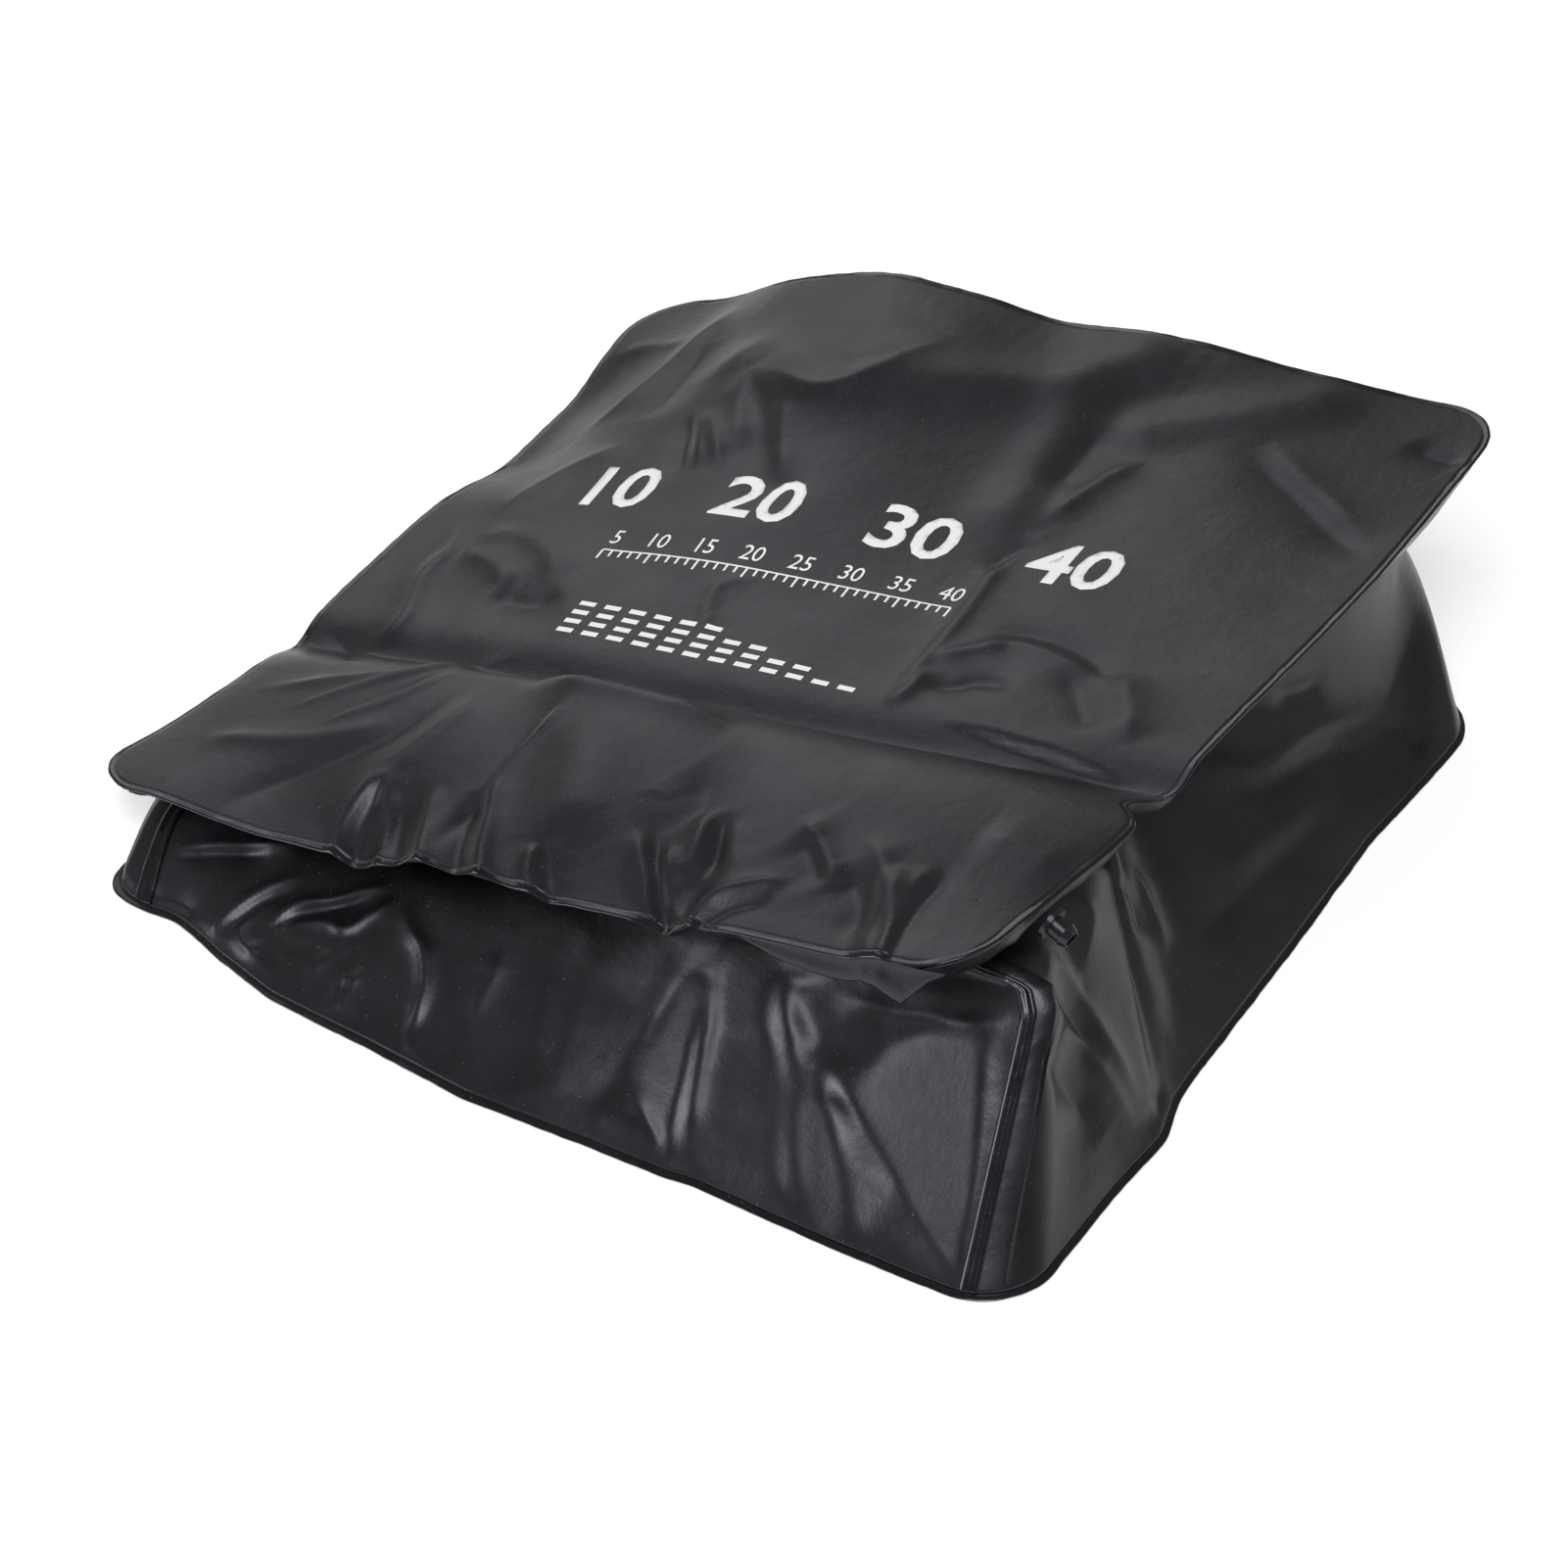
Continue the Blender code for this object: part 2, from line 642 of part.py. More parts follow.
def make_outlet(right_wall):
    """Moulded outlet just under the top seam: a flange and a barbed spigot for the hose."""
    at = 2.0 + 2.0 * OUTLET_PLACE_SHARE
    lip = (facet_spot(at, 3, 1.0) - facet_spot(at, 3, 0.0)).length
    drop = SEAT_GAP + OUTLET_FLANGE_RADIUS + OUTLET_SEAM_ROOM
    place = fitting_frame(at, 3, 1.0 - drop / lip)
    cut_hole(right_wall, place, OUTLET_FLANGE_RADIUS + SEAT_GAP)
    half = OUTLET_FLANGE_THICKNESS / 2
    tip = half + SPIGOT_LENGTH
    profile = [
        (OUTLET_FLANGE_RADIUS, -half), (OUTLET_FLANGE_RADIUS, half), (SPIGOT_RADIUS, half),
        (SPIGOT_RADIUS, tip - BARB_LENGTH), (SPIGOT_RADIUS + BARB_HEIGHT, tip - BARB_LENGTH),
        (SPIGOT_RADIUS - BARB_HEIGHT, tip), (SPIGOT_BORE_RADIUS, tip), (SPIGOT_BORE_RADIUS, -half),
    ]
    turned_object("outlet_spigot", profile, "moulding", place)


ORIGIN = bag_middle()

clear_scene()
make_panels()
make_beads()
gusset_walls = make_gusset()
make_filler(gusset_walls["back_wall"])
make_outlet(gusset_walls["right_wall"])
bpy.context.view_layer.update()
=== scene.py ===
# %% [markdown]
# # A camp shower bag of black film
# The bag lies part empty on a white floor. A printed top panel and a plain bottom panel are joined
# by a folded gusset with welded seams. A rigid frame with every piece's place and joint is loaded
# first. The soft pieces are then made again on top of it, because film shows its crumples.

# %% Load the frame
import math

import bpy
import numpy as np
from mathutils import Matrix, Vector, noise
from mathutils.geometry import delaunay_2d_cdt


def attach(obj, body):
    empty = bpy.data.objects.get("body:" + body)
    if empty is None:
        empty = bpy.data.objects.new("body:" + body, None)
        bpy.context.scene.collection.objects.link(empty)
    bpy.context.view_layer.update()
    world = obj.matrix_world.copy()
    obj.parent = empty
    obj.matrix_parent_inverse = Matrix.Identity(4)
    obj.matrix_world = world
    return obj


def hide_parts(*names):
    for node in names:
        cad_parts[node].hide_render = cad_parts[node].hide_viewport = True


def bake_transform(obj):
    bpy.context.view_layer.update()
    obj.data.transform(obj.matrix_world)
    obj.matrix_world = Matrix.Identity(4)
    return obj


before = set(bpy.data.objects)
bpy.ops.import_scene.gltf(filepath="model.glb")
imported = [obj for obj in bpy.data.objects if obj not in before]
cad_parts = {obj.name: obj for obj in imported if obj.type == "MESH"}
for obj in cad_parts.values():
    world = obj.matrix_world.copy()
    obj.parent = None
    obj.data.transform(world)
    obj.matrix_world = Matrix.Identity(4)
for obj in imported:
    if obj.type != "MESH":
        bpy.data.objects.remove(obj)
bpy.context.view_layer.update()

for item in bpy.context.selected_objects:
    item.select_set(False)

# %% [markdown]
# ## The camera
# The photograph was taken from above the front right corner with a long lens. The numbers below
# were fitted to the corners of the bottom panel. The helper shows where a point of the bag falls in
# the picture, so that a crease can be placed by the pixels that it runs through.

# %% Camera
PICTURE = 1601
AZIMUTH = math.radians(31.5)
ELEVATION = math.radians(40.88)
DISTANCE = 1.909
FOCAL_PIXELS = 4817.9
SENSOR_WIDTH = 36.0
PANEL_MIDDLE_PIXEL = (824.4, 826.0)
PANEL_MIDDLE = np.array((0.01312, -0.0135, 0.0))

to_camera = np.array((math.sin(AZIMUTH) * math.cos(ELEVATION),
                      -math.cos(AZIMUTH) * math.cos(ELEVATION), math.sin(ELEVATION)))
to_right = np.array((math.cos(AZIMUTH), math.sin(AZIMUTH), 0.0))
to_top = np.cross(to_camera, to_right)
shift_right = (PANEL_MIDDLE_PIXEL[0] - PICTURE / 2) * DISTANCE / FOCAL_PIXELS
shift_down = (PANEL_MIDDLE_PIXEL[1] - PICTURE / 2) * DISTANCE / FOCAL_PIXELS
aim = PANEL_MIDDLE - to_right * shift_right + to_top * shift_down
eye = aim + to_camera * DISTANCE


def pixels(points):
    """Photograph pixels of points of the bag."""
    away = (eye - points) @ to_camera
    across = FOCAL_PIXELS * ((points - eye) @ to_right) / away + PICTURE / 2
    down = -FOCAL_PIXELS * ((points - eye) @ to_top) / away + PICTURE / 2
    return np.stack([across, down], axis=-1)


bpy.ops.object.camera_add(location=eye)
camera = bpy.context.object
camera.name = "photo_camera"
camera.rotation_euler = Vector(to_camera).to_track_quat("Z", "Y").to_euler()
camera.data.sensor_width = SENSOR_WIDTH
camera.data.lens = FOCAL_PIXELS / PICTURE * camera.data.sensor_width
camera.data.clip_end = 50.0
bpy.context.scene.camera = camera
print("camera at", [round(float(v), 3) for v in eye], "lens", round(camera.data.lens, 1))

# %% [markdown]
# ## Sizes and the lie of the bag
# These are the sizes of the frame's own model, in metres, repeated here because the fine surface is
# worked out from the same form. Shares run from 0 to 1 from the left to the right of a panel and
# from its front to its back.

# %% Panels and film
MILLIMETRE = 0.001
PANEL_WIDTH = 0.420
PANEL_DEPTH = 0.400
CORNER_RADIUS = 0.028
FILM = 0.0008
SEAT_GAP = 0.0003
BEAD_WIDTH = 0.005
BEAD_THICKNESS = 0.0016
HEAD_DROP = BEAD_THICKNESS / 2 + SEAT_GAP + FILM / 2
print("panels:", PANEL_WIDTH, "by", PANEL_DEPTH, "m, their film", FILM, "m")

# %% Lie of the top panel
TOP_HEIGHT = 0.0735
TOP_TILT = math.radians(13.0)
TOP_SHIFT = (-0.018, 0.036)
FLAP_SKEW = 0.016
CREASE_DEPTH = 0.005
CREASE_HALF_WIDTH = 0.012
CREASE_SHARE = 0.31
CREASE_TURN_SHARE = 0.02
FLAP_CROWN = 0.0139
FLAP_RISE_POWER = 0.6
FLAP_FALL_POWER = 1.1
FLAP_ACROSS_POWER = 0.7
HUMP_HEIGHT = 0.034
HUMP_SHARE = 0.36
HUMP_SPREAD_SHARE = 0.24
HUMP_REACH_SHARE = 0.42
RIGHT_HUMP_HEIGHT = 0.006
RIGHT_HUMP_SHARE = 0.78
RIGHT_HUMP_SPREAD_SHARE = 0.12
FRONT_SAG = 0.007
FRONT_SAG_REACH_SHARE = 0.10
PANEL_RIDGES = (
    (0.0050, 0.018, ((0.235, 0.824), (0.374, 0.787), (0.563, 0.881), (0.626, 0.950))),
    (0.0030, 0.014, ((0.684, 0.857), (0.756, 0.900), (0.814, 0.950))),
    (0.0026, 0.014, ((0.603, 0.880), (0.617, 0.683))),
    (0.0030, 0.018, ((0.388, 0.270), (0.473, 0.166), (0.504, 0.106))),
    (-0.0024, 0.014, ((0.253, 0.806), (0.370, 0.636))),
)
LEFT_DIP = (-0.012, 0.036, ((0.0, 0.70), (0.0, 0.80)))
tilt_along = np.array((math.cos(TOP_TILT), 0.0, math.sin(TOP_TILT)))
tilt_normal = np.array((-math.sin(TOP_TILT), 0.0, math.cos(TOP_TILT)))
print("the top panel leans by", round(math.degrees(TOP_TILT), 1), "degrees")

# %% [markdown]
# ## The form of the top panel
# The panel is a tilted plane with soft heights added: a groove along the packing fold, the crown of
# the flap, two humps at the back and a few long ridges. Bell curves and smooth steps are enough for
# them, because air and water under film never leave a hard edge.

# %% Curves
SMOOTH_WEIGHTS = np.array((1.0, 4.0, 6.0, 4.0, 1.0)) / 16.0


def ease(value, low, high):
    """Smooth step from 0 at low to 1 at high."""
    t = np.clip((value - low) / (high - low), 0.0, 1.0)
    return t * t * (3.0 - 2.0 * t)


def bell(value, middle, spread):
    """Bell curve of height 1."""
    return np.exp(-((value - middle) / spread) ** 2)


def hill(value, rise, fall):
    """Curve from 0 to a crown of 1 and back as the value goes from 0 to 1."""
    crown = (rise / (rise + fall)) ** rise * (fall / (rise + fall)) ** fall
    return value ** rise * (1.0 - value) ** fall / crown


def distance_to(u, v, line):
    """Distance over the panel from places to a polyline, all given in shares."""
    nearest = np.full(np.shape(u), np.inf)
    for (u0, v0), (u1, v1) in zip(line, line[1:]):
        run = np.array(((u1 - u0) * PANEL_WIDTH, (v1 - v0) * PANEL_DEPTH))
        away = np.stack([(u - u0) * PANEL_WIDTH, (v - v0) * PANEL_DEPTH], axis=-1)
        share = np.clip(away @ run / (run @ run), 0.0, 1.0)
        nearest = np.minimum(nearest, np.linalg.norm(away - share[..., None] * run, axis=-1))
    return nearest


def smooth_run(place, nodes, values, reach):
    """Values between nodes, with the kinks at the nodes rounded off over a reach."""
    steps = np.linspace(-reach, reach, len(SMOOTH_WEIGHTS))
    return sum(weight * np.interp(place + step, nodes, values)
               for weight, step in zip(SMOOTH_WEIGHTS, steps))


print("a hill is", round(float(hill(0.5, FLAP_RISE_POWER, FLAP_FALL_POWER)), 2), "high halfway")

# %% Heights of the top panel
EDGE_REACH = 0.09
EDGE_KINK = 0.012
BACK_KINK_GROWTH = 3.0
edge_waves = []


def relief(a, b):
    """Height of the top panel's film above its tilted plane."""
    u, v = a / PANEL_WIDTH + 0.5, b / PANEL_DEPTH + 0.5
    across = np.sin(np.pi * np.clip(u, 0.0, 1.0))
    crease = CREASE_SHARE + CREASE_TURN_SHARE * (u - 0.5)
    flap = np.clip((crease - v) / crease, 0.0, 1.0)
    height = -CREASE_DEPTH * bell(v, crease, CREASE_HALF_WIDTH / PANEL_DEPTH)
    height += (FLAP_CROWN * across ** FLAP_ACROSS_POWER
               * hill(flap, FLAP_RISE_POWER, FLAP_FALL_POWER))
    back = bell(v, 1.0, HUMP_REACH_SHARE)
    height += HUMP_HEIGHT * bell(u, HUMP_SHARE, HUMP_SPREAD_SHARE) * back
    height += RIGHT_HUMP_HEIGHT * bell(u, RIGHT_HUMP_SHARE, RIGHT_HUMP_SPREAD_SHARE) * back
    height -= FRONT_SAG * across * bell(v, 0.0, FRONT_SAG_REACH_SHARE)
    for rise, spread, line in PANEL_RIDGES + (LEFT_DIP,):
        height += rise * bell(distance_to(u, v, line), 0.0, spread)
    for edge, shares, lifts in edge_waves:
        reach = EDGE_KINK * (1.0 + BACK_KINK_GROWTH * edge)
        height += smooth_run(u, shares, lifts, reach) * bell(v, edge, EDGE_REACH)
    return height


print("middle of the panel rises by", round(float(relief(np.zeros(1), np.zeros(1))[0]), 4), "m")

# %% Outline of the top panel
PINCH_WIDTH = 0.0072
PINCH_RETURN = 0.0035
PINCH_RUN = (0.30, 0.75)
PINCH_SIDE = (0.45, 1.0)
NOTCH_DEPTH = 0.013
NOTCH_PLACE = 0.292
NOTCH_SPREAD = 0.024
NOTCH_SIDE = (0.80, 1.0)


def skew(b):
    """How far the front flap has slid to the left."""
    return FLAP_SKEW * (1.0 - ease(b / PANEL_DEPTH + 0.5, 0.0, CREASE_SHARE))


def pinch(a, b):
    """How far the right edge is drawn in beside the packing fold, with a notch at the fold."""
    u, v = a / PANEL_WIDTH + 0.5, b / PANEL_DEPTH + 0.5
    drawn = PINCH_WIDTH - (PINCH_WIDTH + PINCH_RETURN) * ease(v, *PINCH_RUN)
    notch = NOTCH_DEPTH * bell(v, NOTCH_PLACE, NOTCH_SPREAD) * ease(u, *NOTCH_SIDE)
    return (drawn + notch) * ease(u, *PINCH_SIDE)


def top_point(a, b, lift=0.0):
    """Points of the top panel, lift above its film, in the frame of the whole bag."""
    flat = np.stack([np.full_like(a, TOP_SHIFT[0]), TOP_SHIFT[1] + b,
                     np.full_like(a, TOP_HEIGHT)], axis=-1)
    run = a - skew(b) - pinch(a, b)
    points = flat + run[..., None] * tilt_along + (relief(a, b) + lift)[..., None] * tilt_normal
    return points + PANEL_MIDDLE


def room_below_top(x, y):
    """Height of the top panel's film over points of the plan."""
    b = y - PANEL_MIDDLE[1] - TOP_SHIFT[1]
    run = (x - PANEL_MIDDLE[0] - TOP_SHIFT[0]) / math.cos(TOP_TILT)
    a = run + skew(b)
    a = a + pinch(a, b)
    return TOP_HEIGHT + run * math.sin(TOP_TILT) + relief(a, b) * math.cos(TOP_TILT)


side_ends = [top_point(np.array([side * PANEL_WIDTH / 2]), np.zeros(1))[0] for side in (-1, 1)]
print("top panel from", side_ends[0].round(3), "to", side_ends[1].round(3))

# %% [markdown]
# ## The form of the bottom panel
# The bottom panel is flat, but the weight of the gusset pushes its front edge outward and draws its
# front left corner to a point. Both panels have round corners, so a square grid of places is bent
# to fill them.

# %% Form of the bottom panel
FRONT_BOW = 0.009
EDGE_POWER = 3
RIGHT_EDGE_RUN = (0.05, 0.25)
BOTTOM_CORNER_REACH = 0.018
BOTTOM_CORNER_POWER = 10
bottom_waves = []
right_waves = []


def bottom_point(a, b, lift=0.0):
    """Points of the bottom panel, whose front edge bows out."""
    u, v = a / PANEL_WIDTH + 0.5, b / PANEL_DEPTH + 0.5
    forward = np.clip(-2.0 * b / PANEL_DEPTH, 0.0, None) ** EDGE_POWER
    rightward = np.clip(2.0 * a / PANEL_WIDTH, 0.0, None) ** EDGE_POWER
    bow = FRONT_BOW * 4.0 * u * (1.0 - u) * forward
    for shares, steps in bottom_waves:
        bow = bow + smooth_run(u, shares, steps, EDGE_KINK) * forward
    for shares, steps in right_waves:
        drawn = smooth_run(v, shares, steps, EDGE_KINK)
        a = a + drawn * ease(v, *RIGHT_EDGE_RUN) * rightward
    corner = np.clip((0.5 - u) * 2.0, 0.0, 1.0) * np.clip((0.5 - v) * 2.0, 0.0, 1.0)
    pulled = BOTTOM_CORNER_REACH * corner ** BOTTOM_CORNER_POWER
    a, bow = a - pulled, bow + pulled
    return np.stack([a, b - bow, np.zeros_like(a) + lift], axis=-1) + PANEL_MIDDLE


def round_corner(a, b, inset):
    """Moves points of a square-cornered grid so that its outline has round corners."""
    reach_a, reach_b = PANEL_WIDTH / 2 - inset, PANEL_DEPTH / 2 - inset
    radius = CORNER_RADIUS - inset
    s = np.clip((abs(a) - reach_a + radius) / radius, 0.0, 1.0)
    t = np.clip((abs(b) - reach_b + radius) / radius, 0.0, 1.0)
    both = (s > 0.0) & (t > 0.0)
    round_a = reach_a - radius + radius * s * np.sqrt(1.0 - t * t / 2.0)
    round_b = reach_b - radius + radius * t * np.sqrt(1.0 - s * s / 2.0)
    return (np.where(both, np.copysign(round_a, a), a),
            np.where(both, np.copysign(round_b, b), b))


print("front edge bows out by", FRONT_BOW, "m")

# %% [markdown]
# ## Edges that follow the photograph
# The panels' edges wave where film bunches at the seam. A few pixels along each edge say where it
# runs in the photograph. The helper works out how far the plain edge has to move, up or outward, to
# pass through them, and the forms above add those moves.

# %% Edges
FRONT_EDGE_PIXELS = ((165, 816), (230, 842), (266, 854), (317, 866), (345, 878), (373, 888),
                     (424, 880), (475, 893), (554, 917), (649, 941), (669, 953), (690, 954),
                     (705, 944), (755, 954), (828, 971), (878, 985), (920, 988))
BACK_EDGE_PIXELS = ((747, 304), (808, 284), (865, 280), (919, 278), (961, 292), (1049, 317),
                    (1090, 330), (1140, 332), (1240, 350), (1330, 379))
BOTTOM_EDGE_PIXELS = ((150, 932), (210, 975), (270, 1020), (373, 1071), (475, 1125), (594, 1170),
                      (675, 1203), (700, 1210), (740, 1228), (824, 1266), (930, 1310))
BOTTOM_RIGHT_PIXELS = ((1144, 1218), (1194, 1163), (1202, 1129), (1219, 1104), (1316, 978),
                       (1396, 868), (1445, 815), (1480, 776))
EDGE_SAMPLES = 841
MOSTLY_ACROSS = 1.2


def edge_gaps(edge, nodes, step):
    """Shares along an edge and how far it must move there to run through pixels."""
    seen = pixels(edge)
    drift = pixels(edge + step) - seen
    lies_across = np.ptp(seen[:, 0]) > MOSTLY_ACROSS * np.ptp(seen[:, 1])
    run, fall = (0, 1) if lies_across else (1, 0)
    slope = np.gradient(seen[:, fall]) / np.gradient(seen[:, run])
    found = np.array([np.argmin(abs(seen[:, run] - node[run])) for node in nodes])
    wanted = np.array([node[fall] for node in nodes])
    gaps = (wanted - seen[found, fall]) / (drift[:, fall] - drift[:, run] * slope)[found]
    order = np.argsort(found)
    return found[order] / (len(edge) - 1), gaps[order] * np.linalg.norm(step)


edge_shares = np.linspace(-0.5, 0.5, EDGE_SAMPLES)
edge_across, edge_along = edge_shares * PANEL_WIDTH, edge_shares * PANEL_DEPTH
front_line = np.full_like(edge_across, -PANEL_DEPTH / 2)
right_line = np.full_like(edge_along, PANEL_WIDTH / 2)
forward_step = MILLIMETRE * np.array((0.0, -1.0, 0.0))
right_step = MILLIMETRE * np.array((1.0, 0.0, 0.0))
found_waves = []
for edge, nodes in ((0.0, FRONT_EDGE_PIXELS), (1.0, BACK_EDGE_PIXELS)):
    edge_line = top_point(edge_across, np.full_like(edge_across, (edge - 0.5) * PANEL_DEPTH))
    found_waves.append((edge, *edge_gaps(edge_line, nodes, MILLIMETRE * tilt_normal)))
edge_waves += found_waves
bottom_waves.append(edge_gaps(bottom_point(edge_across, front_line), BOTTOM_EDGE_PIXELS,
                              forward_step))
right_waves.append(edge_gaps(bottom_point(right_line, edge_along), BOTTOM_RIGHT_PIXELS,
                             right_step))
for name, gaps in (("top front", edge_waves[0][2]), ("top back", edge_waves[1][2]),
                   ("bottom front", bottom_waves[0][1]), ("bottom right", right_waves[0][1])):
    print(name, "edge moves by", (gaps / MILLIMETRE).round(1), "mm")

# %% [markdown]
# ## Making film
# Blender can make a sheet as a grid and then give it thickness. The grid is added flat, its points
# are moved onto the form, and Solidify turns it into a closed film. Every soft piece is made so.

# %% Film helpers
FILM_SHOWN = 0.0006
RING_MERGE = 0.00002
NOISE_STEPS = (7.3, 3.1, 5.7)


def sheet_piece(name, grid, thickness=FILM_SHOWN, ring=False):
    """Film through a grid of points; ring joins its last row to its first."""
    rows, columns = grid.shape[:2]
    bpy.ops.mesh.primitive_grid_add(x_subdivisions=columns - 1, y_subdivisions=rows - 1, size=1.0)
    piece = bpy.context.object
    piece.name = piece.data.name = name
    piece.data.vertices.foreach_set("co", grid.reshape(-1).astype(np.float32))
    piece.data.update()
    if ring:
        bpy.ops.object.mode_set(mode="EDIT")
        bpy.ops.mesh.select_all(action="SELECT")
        bpy.ops.mesh.remove_doubles(threshold=RING_MERGE)
        bpy.ops.object.mode_set(mode="OBJECT")
    if thickness:
        solid = piece.modifiers.new("thickness", "SOLIDIFY")
        solid.thickness = thickness
        solid.offset = 0.0
        bpy.ops.object.modifier_apply(modifier=solid.name)
    bpy.ops.object.shade_smooth()
    piece.select_set(False)
    return piece


def grid_normals(grid):
    """Unit normals of a grid of points."""
    along = np.gradient(grid, axis=0)
    across = np.gradient(grid, axis=1)
    normals = np.cross(across, along)
    return normals / np.maximum(np.linalg.norm(normals, axis=-1, keepdims=True), 1e-12)


def smooth_noise(points, size, seed):
    """Soft random heights from -1 to 1 whose bumps are about size metres across."""
    place = Vector([seed * step for step in NOISE_STEPS])
    flat = points.reshape(-1, 3) / size
    values = [noise.noise(Vector(p) + place) for p in flat]
    return np.array(values).reshape(points.shape[:-1])


def crumple_of(points, layers, seed=0):
    """Sum of random heights, each layer with its height, the size of its bumps and its seed."""
    return sum(height * smooth_noise(points, size, seed + own) for height, size, own in layers)


print("film is shown", FILM_SHOWN, "m thick")

# %% [markdown]
# ## Creases
# A crease in film is sharp along its crest and falls away softly on both sides, like a tent. Each
# one below has a height, a width and the pixels of the photograph that it runs through. The pixels
# are looked up on the surface, so a crease keeps its real size on a slope.

# %% Lines of the creases
CREASE_STEPS = 6
PIXEL_REACH = 6.0
NEAREST_SLACK = 1.2
LINE_SMOOTHINGS = 4


def curve_through(nodes):
    """Smooth curve through a few nodes."""
    nodes = np.asarray(nodes, dtype=float)
    padded = np.vstack([2 * nodes[0] - nodes[1], nodes, 2 * nodes[-1] - nodes[-2]])
    points = []
    for i in range(1, len(nodes)):
        p0, p1, p2, p3 = padded[i - 1:i + 3]
        for t in np.arange(CREASE_STEPS) / CREASE_STEPS:
            points.append(0.5 * (2 * p1 + (p2 - p0) * t + (2 * p0 - 5 * p1 + 4 * p2 - p3) * t ** 2
                                 + (3 * p1 - p0 - 3 * p2 + p3) * t ** 3))
    return np.array(points + [nodes[-1]])


def on_surface(points, seen, nearness, nodes):
    """Points of a surface that show at photograph pixels, the nearest to the camera first."""
    found = []
    for node in curve_through(nodes):
        gap = ((seen - node) ** 2).sum(axis=1)
        close = np.nonzero(gap < max(gap.min() * NEAREST_SLACK, PIXEL_REACH ** 2))[0]
        found.append(points[close[np.argmax(nearness[close])]])
    found = np.array(found)
    for _ in range(LINE_SMOOTHINGS):
        found[1:-1] = (found[:-2] + 2.0 * found[1:-1] + found[2:]) / 4.0
    return found


def lay_creases(points, creases, to_seam=False):
    """Turns creases given in pixels into lines on points; to_seam keeps their last end full."""
    seen = pixels(points)
    nearness = points @ to_camera
    return [(height, width, on_surface(points, seen, nearness, nodes), to_seam)
            for height, width, nodes in creases]


print("creases are", CREASE_STEPS, "steps between pixels")

# %% Heights of the creases
CREASE_REACH_WIDTHS = 6.0
CREASE_FADE = (-0.05, 0.30)
CREST_ROUNDING = 0.25


def crease_height(points, lines):
    """How far creases lift points of a surface."""
    flat = points.reshape(-1, 3)
    total = np.zeros(len(flat))
    for height, width, line, to_seam in lines:
        steps = line[1:] - line[:-1]
        lengths = np.maximum(np.linalg.norm(steps, axis=1), 1e-9)
        run = np.concatenate([[0.0], np.cumsum(lengths)])
        reach = width * CREASE_REACH_WIDTHS
        low, high = line.min(axis=0) - reach, line.max(axis=0) + reach
        near = np.nonzero(((flat > low) & (flat < high)).all(axis=1))[0]
        if not len(near):
            continue
        away = flat[near][:, None, :] - line[None, :-1, :]
        share = np.clip((away * steps).sum(axis=2) / lengths ** 2, 0.0, 1.0)
        gap = np.linalg.norm(away - share[..., None] * steps, axis=2)
        best = gap.argmin(axis=1)
        pick = np.arange(len(near))
        distance = gap[pick, best]
        place = (run[best] + share[pick, best] * lengths[best]) / run[-1]
        fade = ease(place, *CREASE_FADE)
        if not to_seam:
            fade = fade * ease(1.0 - place, *CREASE_FADE)
        round_off = CREST_ROUNDING * width
        tent = np.exp(-(np.sqrt(distance ** 2 + round_off ** 2) - round_off) / width)
        total[near] += height * tent * fade
    return total.reshape(points.shape[:-1])


print("a crease reaches", CREASE_REACH_WIDTHS, "of its widths")

# %% [markdown]
# ## The top panel
# The printed panel carries the packing fold across it, a puffed flap in front of the fold and a
# hump at the back. Its creases were read from the photograph, ridges with a height above zero and
# valleys below. Those of the seam start softly on the flap and run out full to its front edge.

